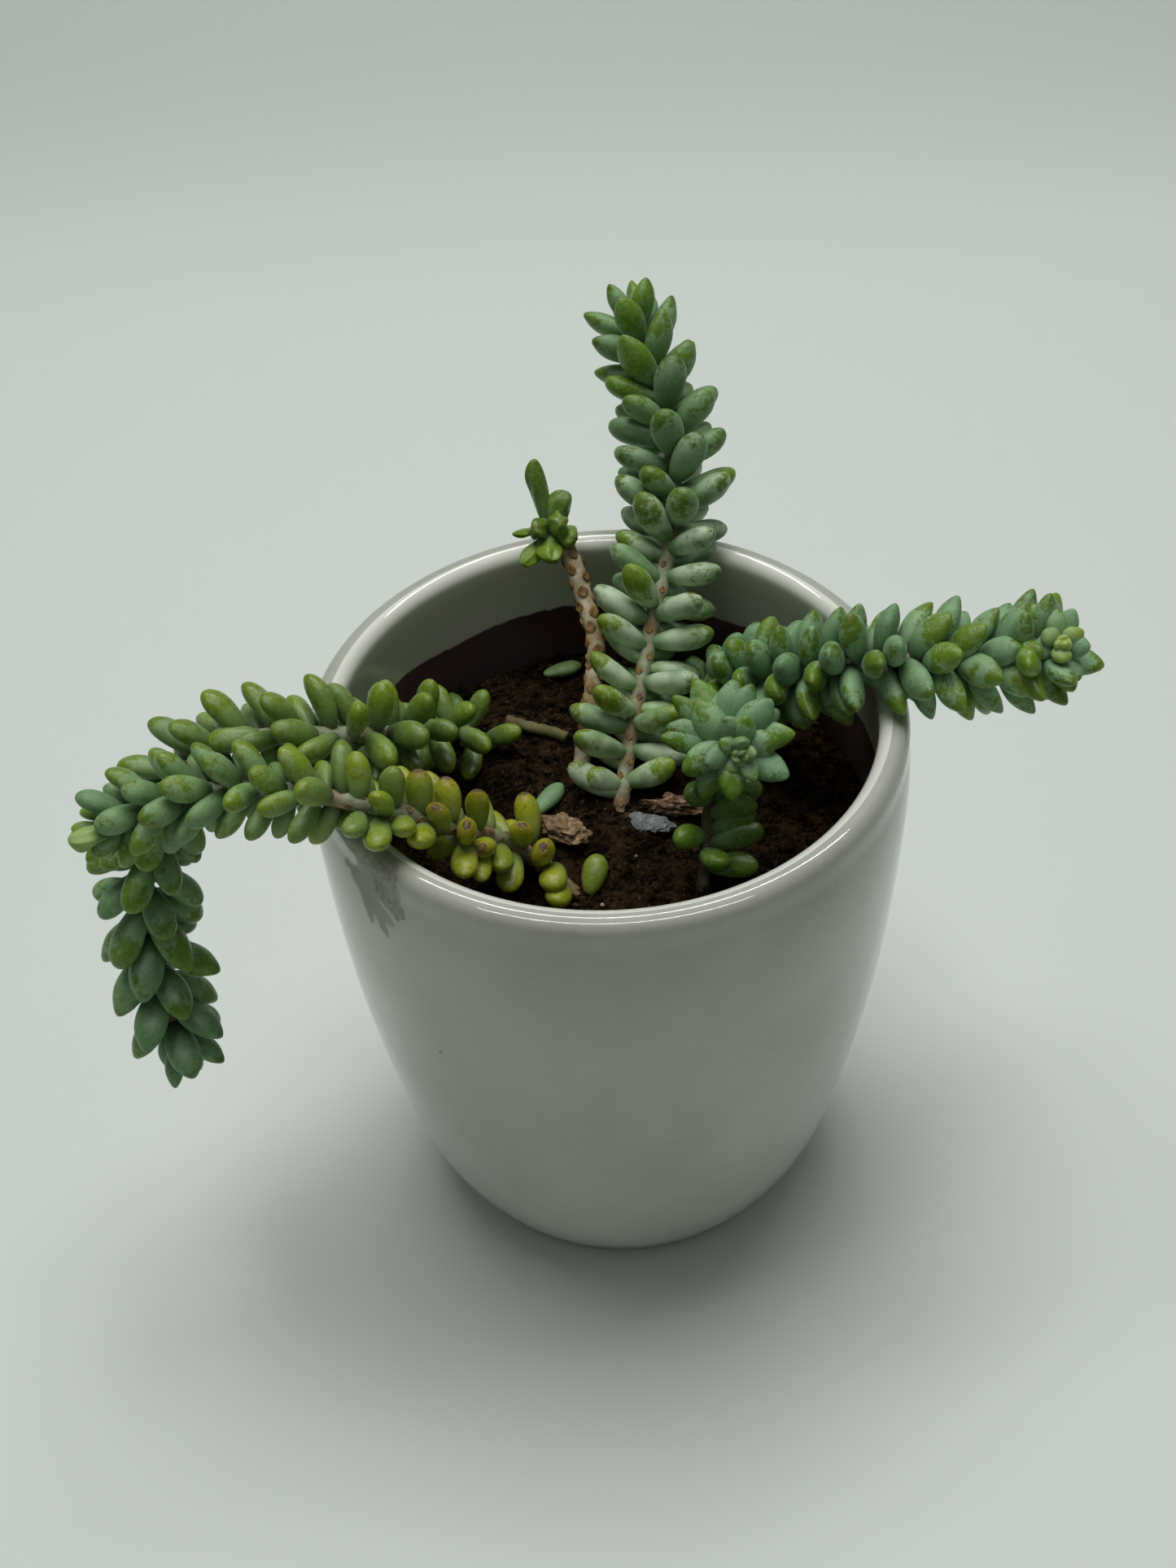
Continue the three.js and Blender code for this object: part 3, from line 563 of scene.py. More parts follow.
growth = {
    "tipZone": 9, "tipLean": 76, "tipScale": 0.34, "tipCrowding": 0.45, "endMargin": 0.6,
    "thickness": 0.8, "curl": 0.1, "sunk": 0.9, "sizeScatter": 0.16, "turnScatter": 0.16,
    "leanScatter": 12, "gap": 0.4, "goldenAngle": math.radians(137.508),
    "balls": [[0.05, 0.26], [0.24, 0.34], [0.45, 0.47], [0.72, 0.47], [0.95, 0.2]],
    "giveWay": [[0, 1], [14, 1], [28, 0.95], [-16, 0.95], [42, 0.85], [-32, 0.85]],
}
lying = {
    "fallenLeafPale": {"node": "fallen_leaf_pale", "at": [-13.8, 0.2], "size": [10.5, 5, 4.2],
                       "turn": 50, "pitch": 8, "bloom": 0.7, "yellow": 0.1},
    "fallenLeafBack": {"node": "fallen_leaf_back", "at": [-10.2, 46], "size": [9.5, 4.6, 3.4],
                       "turn": 18, "pitch": 0, "bloom": 0.5, "yellow": 0.3},
    "fallenLeafGreen": {"node": "fallen_leaf_green", "at": [-4.2, -23], "size": [9, 6, 5.4],
                        "turn": 70, "pitch": 35, "bloom": 0.1, "yellow": 0.6, "bareFrom": 0.5},
    "fallenLeafLeft": {"node": "fallen_leaf_left", "at": [-34.5, 34], "size": [9, 4.6, 4],
                       "turn": 120, "pitch": 12, "bloom": 0.1, "yellow": 0.1},
    "dryLeafSkin": {"node": "dry_leaf_skin", "at": [8.6, -8.4], "size": [12, 6.5, 1.8],
                    "turn": -32, "pitch": 6, "grain": 4, "rough": 0.24, "ridges": 0},
    "driedStubLeft": {"node": "dried_stub_left", "at": [-10.2, -10.6], "size": [13, 7.5, 5],
                      "turn": -40, "pitch": 10, "grain": 3.2, "rough": 0.24, "ridges": 0.16},
    "driedStubRight": {"node": "dried_stub_right", "at": [14.2, -4.6], "size": [13, 4.4, 4.2],
                       "turn": -18, "pitch": 12, "grain": 3.2, "rough": 0.42, "ridges": 0.3},
}
lyingHeight = 0.38
oldStem = {"node": "old_stem", "radius": 1.5, "height": 0.7, "step": 0.9,
           "route": [[-23, 27.5], [-17.8, 24.4], [-12.6, 21.4], [-8.6, 19.2]]}


def makeRandom(seed):
    state = [seed]

    def draw():
        state[0] = (state[0] * 1664525 + 1013904223) % 4294967296
        return state[0] / 4294967296
    return draw


def unit(vector):
    return vector / np.linalg.norm(vector)


def between(first, last, share):
    return (1 - share) * first + share * last


def along(steps, share):      # a value read off a list of [share, value]
    return float(np.interp(share, [s for s, _ in steps], [v for _, v in steps]))


def sampleRoute(points, count=240):
    chain = chained(points)
    fine = []
    for i in range(count * 4 + 1):
        place = (len(points) - 1) * i / (count * 4)
        low = min(int(place), len(points) - 2)
        fine.append(onCurve(*chain[low:low + 4], place - low))
    fine = np.array(fine)
    lengths = np.concatenate([[0], np.cumsum(np.linalg.norm(np.diff(fine, axis=0), axis=1))])
    total = lengths[-1]

    def placeAt(s):
        i = min(max(int(np.searchsorted(lengths, s)), 1), len(fine) - 1)
        return between(fine[i - 1], fine[i], (s - lengths[i - 1]) / (lengths[i] - lengths[i - 1]))
    samples = []
    side = None
    for i in range(count + 1):
        ahead = placeAt(min(total, total * (i + 0.5) / count))
        behind = placeAt(max(0, total * (i - 0.5) / count))
        forward = unit(ahead - behind)
        side = np.cross([1, 0, 0], forward) if side is None else side
        side = unit(side - forward * side.dot(forward))
        samples.append(np.array([placeAt(total * i / count), forward, side, np.cross(forward, side)]))
    return {"samples": samples, "total": total}


def routeAt(route, s):
    place = min(max(s / route["total"], 0), 1) * (len(route["samples"]) - 1)
    low = min(int(place), len(route["samples"]) - 2)
    mixed = between(route["samples"][low], route["samples"][low + 1], place - low)
    return mixed[0], unit(mixed[1]), unit(mixed[2]), unit(mixed[3])


def ballsOf(leaf):
    return [(leaf["root"] + leaf["direction"] * leaf["whole"] * share
             + leaf["up"] * growth["curl"] * leaf["length"] * share ** 2, girth * leaf["width"])
            for share, girth in growth["balls"]]


wallMiddle = np.array([lipMiddle] + [[r + pot["wall"] / 2, z] for r, z in wallHeights])


def distanceToWall(centre):
    spot = np.array([math.hypot(centre[0], centre[1]), centre[2]])
    start, run = wallMiddle[:-1], np.diff(wallMiddle, axis=0)
    share = np.clip(((spot - start) * run).sum(1) / (run * run).sum(1), 0, 1)
    return np.linalg.norm(spot - start - share[:, None] * run, axis=1).min() - pot["wall"] / 2


soilEdge = insideRadius(soil["level"])


def isClear(leaf, centres, radii):
    for centre, radius in ballsOf(leaf):
        x, y, z = centre
        if math.hypot(x, y) <= soilEdge and z - soilTop(x, y) <= radius + growth["gap"]:
            return False
        if distanceToWall(centre) <= radius + growth["gap"]:
            return False
        if (np.linalg.norm(centres - centre, axis=1) <= radius + radii + growth["gap"]).any():
            return False
    return True


def makeLeaf(tail, route, s, turn, lean, scale):
    place, forward, side, across = routeAt(route, s)
    radial = side * math.cos(turn) + across * math.sin(turn)
    slope = math.radians(lean)
    direction = radial * math.cos(slope) + forward * math.sin(slope)
    up = forward * math.cos(slope) - radial * math.sin(slope)
    length = tail["leafLength"] * scale
    return {"root": place, "direction": direction, "up": up, "across": np.cross(direction, up),
            "radial": radial, "length": length, "whole": length + tail["radius"] * growth["sunk"],
            "width": tail["leafWidth"] * scale, "share": s / route["total"]}


def placedLeaf(tail, route, root, tip, width):      # from its own root to its own tip
    root, reach = np.array(root, float), np.array(tip, float) - root
    length = np.linalg.norm(reach)
    direction, facing = reach / length, np.array(tail["facing"])
    up = unit(facing - direction * facing.dot(direction))
    gaps = [np.linalg.norm(sample[0] - root) for sample in route["samples"]]
    share = gaps.index(min(gaps)) / len(gaps)
    return {"root": root, "direction": direction, "up": up, "across": np.cross(direction, up),
            "radial": up, "length": length, "whole": length, "width": width, "share": share}


def placeLeaves(tail, route, obstacles):
    leaves = [placedLeaf(tail, route, root, tip, width)
              for root, *ends in tail.get("placed", []) for *tip, width in ends]
    scars = []
    if "spacing" not in tail:
        return leaves, scars
    centres = np.array([c for c, _ in obstacles])
    radii = np.array([r for _, r in obstacles])
    random = makeRandom(tail["seed"])
    turn = random() * 2 * math.pi
    s = tail["firstLeaf"]
    while s < route["total"] - tail.get("endMargin", growth["endMargin"]):
        share = s / route["total"]
        tip = min(max((route["total"] - s) / growth["tipZone"], 0), 1)
        closed = growth["tipLean"]
        lean = closed + (between(*tail["lean"], share) - closed) * math.sqrt(tip)
        smallest = tail.get("tipScale", growth["tipScale"])
        scale = (between(*tail["swell"], share) * (smallest + (1 - smallest) * math.sqrt(tip))
                 * (1 + (random() - 0.5) * growth["sizeScatter"]))
        wobble = (random() - 0.5) * growth["leanScatter"]
        for more, shorter in growth["giveWay"]:
            leaf = makeLeaf(tail, route, s, turn, lean + wobble + more, scale * shorter)
            bared = ("bareSide" in tail and share < tail["bareUntil"]
                     and leaf["radial"].dot(tail["bareSide"]) > tail["bareCone"])
            if not bared and isClear(leaf, centres, radii):
                leaves.append(leaf)
                break
        else:
            scars.append(leaf)
        turn += growth["goldenAngle"] + (random() - 0.5) * growth["turnScatter"]
        s += along(tail["spacing"], share) * (growth["tipCrowding"] + (1 - growth["tipCrowding"]) * tip)
    return leaves, scars


def lyingPlace(item):
    x, y = item["at"]
    return np.array([x, y, soilTop(x, y) + item["size"][2] * lyingHeight])


def lyingBalls(item):
    middle, turn = lyingPlace(item), math.radians(item["turn"])
    heading = np.array([math.cos(turn), math.sin(turn), 0])
    return [(middle + heading * share * item["size"][0], item["size"][1] / 2) for share in (-0.3, 0, 0.3)]


routes = {name: sampleRoute(tail["route"]) for name, tail in tails.items()}
stemBalls = {name: [(routeAt(routes[name], s)[0], tail["radius"])
                    for s in np.arange(tail["radius"] * 3, routes[name]["total"], tail["radius"])]
             for name, tail in tails.items()}
grown, placed = {}, []
for name, tail in tails.items():
    obstacles = placed + [ball for other in tails if other != name for ball in stemBalls[other]]
    obstacles += [ball for item in lying.values() for ball in lyingBalls(item)]
    grown[name] = placeLeaves(tail, routes[name], obstacles)
    placed += [ball for leaf in grown[name][0] for ball in ballsOf(leaf)]
print("leaves placed:", {name: len(leaves) for name, (leaves, scars) in grown.items()})

# each form gives, from root to tip, a place along the leaf and the half width there
leafForms = {
    "bean": {"rings": [[-0.02, 0], [0.09, 0.29], [0.42, 0.5], [0.78, 0.54], [0.965, 0.28], [1.04, 0]],
             "flat": 0.94, "belly": 1.04},
    "plump": {"rings": [[-0.02, 0], [0.09, 0.26], [0.4, 0.48], [0.76, 0.56], [0.965, 0.32], [1.05, 0]],
              "flat": 0.88, "belly": 1.06},
    "pointed": {"rings": [[-0.02, 0], [0.09, 0.28], [0.4, 0.53], [0.74, 0.56], [0.94, 0.29], [1.1, 0]],
                "flat": 0.8, "belly": 1.06},
}
leafSides, leafBands = 8, 5


def modelLeaf(name, form):
    pickNothing()
    bpy.ops.mesh.primitive_uv_sphere_add(segments=leafSides, ring_count=leafBands, radius=1)
    item = named(name)
    editing(item)
    away = 10      # a finished ring waits this far up, where no other ring is picked with it
    for i, (place, half) in enumerate(form["rings"]):
        angle = math.pi * i / leafBands
        choose(item, lambda co: abs(co.z + math.cos(angle)) < 0.01)
        bpy.ops.transform.translate(value=(0, 0, away + place + math.cos(angle)))
        if half:
            size = half / math.sin(angle)
            bpy.ops.transform.resize(value=(size, size, 1), center_override=(0, 0, away + place))
    chooseAll()
    bpy.ops.transform.translate(value=(0, 0, -away))
    for side, factor in ((1, form["flat"]), (-1, form["belly"])):
        choose(item, lambda co: co.y * side > 0.01)
        bpy.ops.transform.resize(value=(1, factor * growth["thickness"], 1), center_override=(0, 0, 0))
    objectMode()
    bpy.ops.object.shade_smooth()
    return item


leafModels = {name: modelLeaf(name + "Leaf", form) for name, form in leafForms.items()}


def leafPoints(model, leaf, bend, twist, lifted):
    a, b, u = pointsOf(model).T
    c, s = math.cos(twist), math.sin(twist)
    a, b = a * c - b * s, a * s + b * c
    reach = leaf["direction"] * leaf["whole"]
    lift = (growth["curl"] + lifted) * leaf["length"] * u * u
    return (leaf["root"] + np.outer(u, reach)
            + np.outer(lift + b * leaf["width"], leaf["up"])
            + np.outer(a * leaf["width"] + bend * leaf["length"] * u * u, leaf["across"])) * mm


def leafMaterial(name, sheen, wetness):
    r = Recipe(name)
    share, tone = r.attribute("leafAlong"), r.attribute("leafTone")
    bloom, yellow = r.attribute("leafBloom"), r.attribute("leafYellow")
    young, scar, gap = r.attribute("leafYoung"), r.attribute("leafScar"), r.attribute("leafGap")
    thickWax = r.attribute("leafThickWax")
    ragged = r.noise(420, 5, 0.7)
    broad = r.noise(120, 2)
    grain = r.noise(2600, 3, 0.6)
    fresh = r.mix(tone, colour(62, 102, 16), colour(96, 142, 32))
    fresh = r.mix(yellow, fresh, r.mix(tone, colour(146, 156, 10), colour(184, 186, 32)))
    waxed = r.mix(tone, colour(120, 166, 126), colour(160, 202, 156))
    waxed = r.mix(yellow * 0.6, waxed, colour(168, 188, 92))
    # the pale wax is rubbed off towards the tip, in ragged grainy patches
    edge = share + 1.6 * (ragged - 0.5) + 1.4 * (broad - 0.5) + 0.8 * (grain - 0.5) + 0.5 * (tone - 0.5)
    rubbed = r.rise(edge, 0.76 - 0.12 * thickWax, 0.88 + 0.16 * thickWax)
    rootWax = r.fall(share, 0.15, 0.7) * 0.6
    wax = r.larger(bloom * (1 - rubbed), rootWax * (1 - bloom * 0.5)) * (0.66 + 0.6 * grain)
    shade = r.mix(wax, fresh, waxed)
    # a pale patch along each leaf's middle: partly thicker wax, partly a painted highlight
    paleWaxAndHighlight = thickWax * r.rise(broad, 0.34, 0.56) * r.rise(share, 0.12, 0.35) * (1 - rubbed)
    shade = r.mix(paleWaxAndHighlight * 0.8, shade, colour(208, 222, 194))
    shade = r.mix(r.fall(broad, 0.25, 0.55) * 0.35, shade, colour(44, 80, 22))
    mottle = r.noise(900, 3)
    shade = r.mix(r.rise(mottle, 0.4, 0.75) * 0.14, shade, colour(196, 214, 160))
    shade = r.mix(r.rise(grain, 0.58, 0.7) * 0.22, shade, colour(206, 222, 180))
    specks = r.patches(1300, 2, 0.58, 0.64) * rubbed
    shade = r.mix(specks * 0.55, shade, colour(112, 88, 30))
    shade = r.mix(young * r.rise(share, 0.1, 0.7) * 0.8, shade, colour(172, 194, 92))
    # dry tips on the oldest leaves: amber round a crusty grey-brown scar
    tipEdge = share + 0.12 * (ragged - 0.5)
    amber = scar * r.rise(tipEdge, 0.8, 0.99)
    brown = scar * r.rise(tipEdge, 0.975, 0.992)
    shade = r.mix(amber * 0.5, shade, colour(146, 96, 22))
    crust = r.mix(r.rise(mottle, 0.4, 0.6), colour(74, 50, 20), colour(118, 96, 58))
    shade = r.mix(brown * 0.9, shade, crust)
    # painted shade: each leaf darkens towards its root, where the leaves crowd and shade one another
    shade = r.mix(gap, shade, colour(16, 28, 8))
    rough = wetness + wax * 0.24 + r.rise(mottle, 0.3, 0.7) * 0.08 + brown * 0.25
    height = ragged * 0.35 + grain * 0.35 + rubbed * -0.12 + brown * r.noise(2400, 2) * 1.5
    return r.finish({"Base Color": shade, "Roughness": rough, "IOR": 1.45, "Specular IOR Level": 0.38,
                     "Subsurface Weight": 0.06, "Subsurface Radius": (0.7, 1.0, 0.2),
                     "Subsurface Scale": 0.0012, "Sheen Weight": sheen, "Sheen Roughness": 0.25,
                     "Sheen Tint": (0.8, 0.95, 0.8, 1),
                     "Normal": r.bump(height, 0.6, 0.0004)})


def stemMaterial(name, pale, dark, mossy):
    r = Recipe(name)
    shade = r.mix(r.patches(300, 4, 0.35, 0.65), pale, dark)
    shade = r.mix(r.patches(110, 3, 0.46, 0.66), shade, mossy)
    height = r.noise(500, 4)
    return r.finish({"Base Color": shade, "Roughness": 0.72, "IOR": 1.4,
                     "Normal": r.bump(height, 0.7, 0.0005)})


def scarMaterial():
    r = Recipe("leafScar")
    shade = r.mix(r.patches(700, 3, 0.35, 0.65), colour(156, 120, 60), colour(104, 74, 36))
    return r.finish({"Base Color": shade, "Roughness": 0.8,
                     "Normal": r.bump(r.noise(1200, 3), 0.8, 0.0004)})


def crumple(item, fold, seed):      # a softer mesh pulled into folds and dents
    subdivide(item, 1, apply=True)
    points = pointsOf(item)
    for i, (a, b, u) in enumerate(points):
        turn = math.atan2(b, a)
        dent = noise.noise(Vector((math.cos(turn) * 1.6, math.sin(turn) * 1.6, u * 3 + seed)))
        shrink = 1 + fold * (0.9 * dent + 0.5 * math.sin(5 * turn + 4 * u + seed))
        points[i] = a * shrink + 0.12 * fold * math.sin(6 * u + seed), b * shrink, u
    setPoints(item, points)


waxyLeaf = leafMaterial("waxyLeaf", 0.26, 0.27)
shinyLeaf = leafMaterial("shinyLeaf", 0.07, 0.2)
greenStem = stemMaterial("greenStem", colour(158, 164, 136), colour(122, 124, 92), colour(134, 104, 72))
beigeStem = stemMaterial("beigeStem", colour(204, 194, 166), colour(170, 152, 112), colour(150, 122, 74))
darkStem = stemMaterial("darkStem", colour(88, 86, 50), colour(54, 58, 28), colour(70, 52, 34))
mossyStem = stemMaterial("mossyStem", colour(122, 112, 70), colour(86, 92, 40), colour(96, 74, 50))
leafScar = scarMaterial()


def tube(name, points, radii, material):
    pickNothing()
    bpy.ops.curve.primitive_bezier_curve_add()
    item = named(name)
    item.data.splines.clear()
    line = item.data.splines.new("POLY")
    line.points.add(len(points) - 1)
    for spot, place, radius in zip(line.points, points, radii):
        spot.co = (*(np.asarray(place) * mm), 1)
        spot.radius = radius
    item.data.dimensions = "3D"
    item.data.bevel_depth = mm
    item.data.bevel_resolution = 3
    item.data.use_fill_caps = True
    pick(item)
    bpy.ops.object.convert(target="MESH")
    item = named(name)
    dress(item, material)
    outward(item)
    smooth(item)
    return item


def scarPad(name, place, forward, radial, size):      # a sunken lozenge with a raised edge
    pickNothing()
    bpy.ops.mesh.primitive_uv_sphere_add(segments=8, ring_count=4, radius=1)
    item = named(name)
    a, b, c = pointsOf(item).T
    lozenge = 1 - 0.3 * np.sin(2 * np.arctan2(b, a)) ** 2
    rise = c * 0.3 - 0.3 * np.exp(-(a * a + b * b) * 4) * (c > 0)
    setPoints(item, (place + np.outer(a * lozenge * size, np.cross(forward, radial))
                     + np.outer(b * lozenge * 1.15 * size, forward)
                     + np.outer(rise * size, radial)) * mm)
    dress(item, leafScar)
    bpy.ops.object.shade_smooth()
    return item


dressing = {
    "seedStep": 1000, "stemStep": 1.6, "stemWaves": [[0.07, 1.7, 0], [0.05, 3.1, 1]],
    "sway": 0.22, "twist": 0.6, "lift": 0.24, "witheredFold": 0.5, "witheredYouth": 0.7,
    "shinyBelow": 0.35, "youngBelow": 4.8, "youngRange": 0.9, "gapReach": 0.5,
    "scarSize": 1.05, "scarSink": 0.97, "markSize": 1.1, "markSink": 0.96,
}

for name, tail in tails.items():
    leaves, scars = grown[name]
    route = routes[name]
    draw = makeRandom(tail["seed"] + dressing["seedStep"])
    stemSkin = {"bareStem": beigeStem, "rosetteStem": darkStem}.get(name, greenStem)
    spots = np.arange(0, route["total"], dressing["stemStep"])
    waves = sum(size * np.sin(rate * spots + start) for size, rate, start in dressing["stemWaves"])
    parts = [tube(name, [routeAt(route, s)[0] for s in spots], tail["radius"] * (1 + waves), stemSkin)]
    for index, leaf in enumerate(leaves):
        form = [f for s, f in tail["forms"] if leaf["share"] >= s][-1]
        twin = copyOf(leafModels[form], f"{name}Leaf{index}")
        withered = index == tail.get("witheredLeaf")
        if withered or "crumple" in tail:
            crumple(twin, dressing["witheredFold"] if withered else tail["crumple"], index)
        u = np.clip(pointsOf(twin)[:, 2], 0, 1.05)
        sway, twist, lifted = (draw() - 0.5 for _ in range(3))
        setPoints(twin, leafPoints(twin, leaf, sway * dressing["sway"], twist * dressing["twist"],
                                   lifted * dressing["lift"]))
        bloom = along(tail["bloom"], leaf["share"])
        dress(twin, shinyLeaf if bloom < dressing["shinyBelow"] else waxyLeaf)
        youth = np.clip((dressing["youngBelow"] - leaf["width"]) / dressing["youngRange"], 0, 1)
        stamp(twin, leafAlong=u, leafTone=draw(), leafBloom=bloom,
              leafYellow=along(tail["yellow"], leaf["share"]),
              leafYoung=dressing["witheredYouth"] if withered else youth * tail["young"],
              leafScar=1.0 if index in tail.get("scarred", ()) else 0.0,
              leafGap=tail["gapShade"] * np.clip(1 - u / dressing["gapReach"], 0, 1),
              leafThickWax=along(tail.get("thickWax", [[0, 0]]), leaf["share"]))
        parts.append(twin)
    for index, leaf in enumerate(scars):
        place, forward, _, _ = routeAt(route, leaf["share"] * route["total"])
        spot = place + leaf["radial"] * tail["radius"] * dressing["scarSink"]
        parts.append(scarPad(f"{name}Scar{index}", spot, forward, leaf["radial"], dressing["scarSize"]))
    turn = 0
    for s in np.arange(*tail.get("marks", (0, 0, 1))):
        turn += growth["goldenAngle"]
        place, forward, side, across = routeAt(route, s)
        radial = side * math.cos(turn) + across * math.sin(turn)
        spot = place + radial * tail["radius"] * dressing["markSink"]
        parts.append(scarPad(f"{name}Mark{s:.0f}", spot, forward, radial,
                             tail.get("markSize", dressing["markSize"])))
    whole = joined(name, parts)
    subdivide(whole, 2)
    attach(whole, "root")
    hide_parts(tail["node"])
    print(name, "dressed with", len(leaves), "leaves")


def soilMaterial():
    r = Recipe("pottingSoil")
    tone = r.attribute("crumbTone")
    pale = r.attribute("crumbPale")
    shade = r.mix(r.patches(260, 5, 0.38, 0.7, 0.7), colour(10, 7, 4), colour(56, 41, 26))
    crumb = r.mix(r.patches(60, 2, 0.4, 0.6), colour(76, 62, 40), colour(56, 40, 24))
    shade = r.mix(tone, shade, crumb)
    shade = r.mix(r.patches(1100, 3, 0.63, 0.7) * 0.45, shade, colour(120, 98, 70))
    shade = r.mix(pale, shade, colour(196, 190, 176))
    height = r.noise(420, 5, 0.7)
    return r.finish({"Base Color": shade, "Roughness": 0.95, "Specular IOR Level": 0.04,
                     "Normal": r.bump(height, 1.0, 0.0013)})


pottingSoil = soilMaterial()
pickNothing()
bpy.ops.mesh.primitive_circle_add(vertices=soil["spokes"], radius=(soilEdge - soil["gap"]) * mm,
                                  location=(0, 0, soil["level"] * mm), fill_type="NGON")
soilBed = named("soilBed")
settle(soilBed)
editing(soilBed)
chooseAll()
for ring in range(soil["rings"] - 1):
    left = (soil["rings"] - 1 - ring) / (soil["rings"] - ring)
    bpy.ops.mesh.inset(thickness=0)
    bpy.ops.transform.resize(value=(left, left, 1), center_override=(0, 0, soil["level"] * mm))
bpy.ops.mesh.merge(type="CENTER")
objectMode()
bedPoints = pointsOf(soilBed) / mm
for i, (x, y, z) in enumerate(bedPoints):
    bedPoints[i, 2] = bedHeight(x, y, min(1, (soilEdge - math.hypot(x, y)) / soil["lumpEdge"]))
setPoints(soilBed, bedPoints * mm)
# the sides and underside, down to the pot's floor
editing(soilBed)
choose(soilBed, lambda co: co.xy.length > (soilEdge - soil["gap"] - soil["wallBand"]) * mm)
level = soil["level"]
reach = soilEdge - soil["gap"]
for z in (*soil["skirt"], pot["floor"] + soil["gap"]):
    bpy.ops.mesh.extrude_region_move(TRANSFORM_OT_translate={"value": (0, 0, (z - level) * mm)})
    target = insideRadius(z) - soil["gap"] - soil["skirtGap"]
    bpy.ops.transform.resize(value=(target / reach, target / reach, 1), center_override=(0, 0, z * mm))
    level, reach = z, target
bpy.ops.mesh.edge_face_add()
objectMode()
outward(soilBed)
smooth(soilBed)
stamp(soilBed, crumbTone=0.0, crumbPale=0.0)
dress(soilBed, pottingSoil)
subdivide(soilBed, 1)
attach(soilBed, "root")
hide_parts("soil")
print("soil laid")

crumbs = {"count": 4200, "seed": 5, "size": [0.28, 1.3], "margin": 1.8, "sink": 0.25}
fibres = {"count": 620, "seed": 9, "length": [1.4, 5.6], "girth": 0.14, "margin": 4, "sink": 0.5,
          "bow": 0.25}
perlite = {"count": 8, "seed": 17, "size": [0.4, 1.0], "margin": 3, "sink": 0.4,
           "placed": [[-2.6, -29.5]]}


def modelCrumb(name, seed):
    pickNothing()
    bpy.ops.mesh.primitive_ico_sphere_add(subdivisions=1, radius=1)
    item = named(name)
    points = pointsOf(item)
    for i, point in enumerate(points):
        points[i] = point * (1 + 0.5 * noise.noise(Vector(point) * 1.3 + Vector((seed * 7.3, 0, 0))))
    setPoints(item, points)
    dress(item, pottingSoil)
    return item


def randomTurn(draw):
    spin = Matrix.Rotation(draw() * 2 * math.pi, 3, "X") @ Matrix.Rotation(draw() * 2 * math.pi, 3, "Z")
    return np.array(spin @ Matrix.Rotation(draw() * 2 * math.pi, 3, "Y"))


crumbModels = [modelCrumb(f"crumb{i}", i + 1) for i in range(4)]


def crumbShape(index):
    return pointsOf(crumbModels[index % len(crumbModels)])


def scatter(index, spot, shape, sink, tone, pale):
    twin = copyOf(crumbModels[index % len(crumbModels)], f"crumbCopy{index}")
    x, y = spot
    setPoints(twin, (shape + [x, y, bedHeight(x, y) + sink]) * mm)
    stamp(twin, crumbTone=tone, crumbPale=pale)
    return twin


def anywhere(draw, margin):
    distance, angle = (soilEdge - margin) * math.sqrt(draw()), draw() * 2 * math.pi
    return distance * math.cos(angle), distance * math.sin(angle)


heap = []
draw = makeRandom(crumbs["seed"])
for index in range(crumbs["count"]):
    spot = anywhere(draw, crumbs["margin"])
    size = between(*crumbs["size"], draw() ** 3)
    stretch = np.array([1, 0.6 + 0.5 * draw(), 0.5 + 0.4 * draw()])
    shape = (crumbShape(index) * stretch * size) @ randomTurn(draw)
    heap.append(scatter(index, spot, shape, crumbs["sink"] * size, draw() ** 4, 0.0))
draw = makeRandom(fibres["seed"])
for index in range(fibres["count"]):
    spot = anywhere(draw, fibres["margin"])
    length = between(*fibres["length"], draw() ** 2)
    heading, slope = draw() * 2 * math.pi, (draw() - 0.4) * 0.5
    turnBy = np.array(Matrix.Rotation(heading, 3, "Z") @ Matrix.Rotation(slope, 3, "Y"))
    shape = crumbShape(index) * [length / 2, fibres["girth"], fibres["girth"]]
    shape[:, 1] += fibres["bow"] * length * (draw() - 0.5) * (shape[:, 0] * 2 / length) ** 2
    heap.append(scatter(index, spot, shape @ turnBy.T, fibres["sink"], 0.35 + 0.65 * draw(), 0.0))
draw = makeRandom(perlite["seed"])
for index in range(perlite["count"]):
    spot = anywhere(draw, perlite["margin"])
    if index < len(perlite["placed"]):
        spot = perlite["placed"][index]
    size = between(*perlite["size"], draw() ** 2)
    shape = crumbShape(index) * size @ randomTurn(draw)
    heap.append(scatter(index, spot, shape, perlite["sink"] * size, 0.0, 0.75 + 0.25 * draw()))
soilCrumbs = joined("soilCrumbs", heap)
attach(soilCrumbs, "root")
discard(*crumbModels)
print("crumbs scattered")


def dryMaterial(name, pale, mid, dark):
    r = Recipe(name)
    shade = r.mix(r.patches(420, 5, 0.3, 0.55, 0.7), dark, mid)
    shade = r.mix(r.patches(700, 4, 0.5, 0.7), shade, pale)
    return r.finish({"Base Color": shade, "Roughness": 0.85,
                     "Normal": r.bump(r.noise(900, 5), 0.9, 0.0006)})


dryTan = dryMaterial("dryTan", colour(176, 152, 112), colour(130, 102, 68), colour(62, 42, 26))
dryRust = dryMaterial("dryRust", colour(182, 154, 126), colour(118, 86, 62), colour(52, 34, 22))
dryPale = dryMaterial("dryPale", colour(146, 152, 154), colour(112, 117, 118), colour(76, 78, 76))


def lyingTurn(item):
    pitch, turn = math.radians(item["pitch"]), math.radians(item["turn"])
    return np.array(Matrix.Rotation(turn, 3, "Z") @ Matrix.Rotation(-pitch, 3, "Y"))


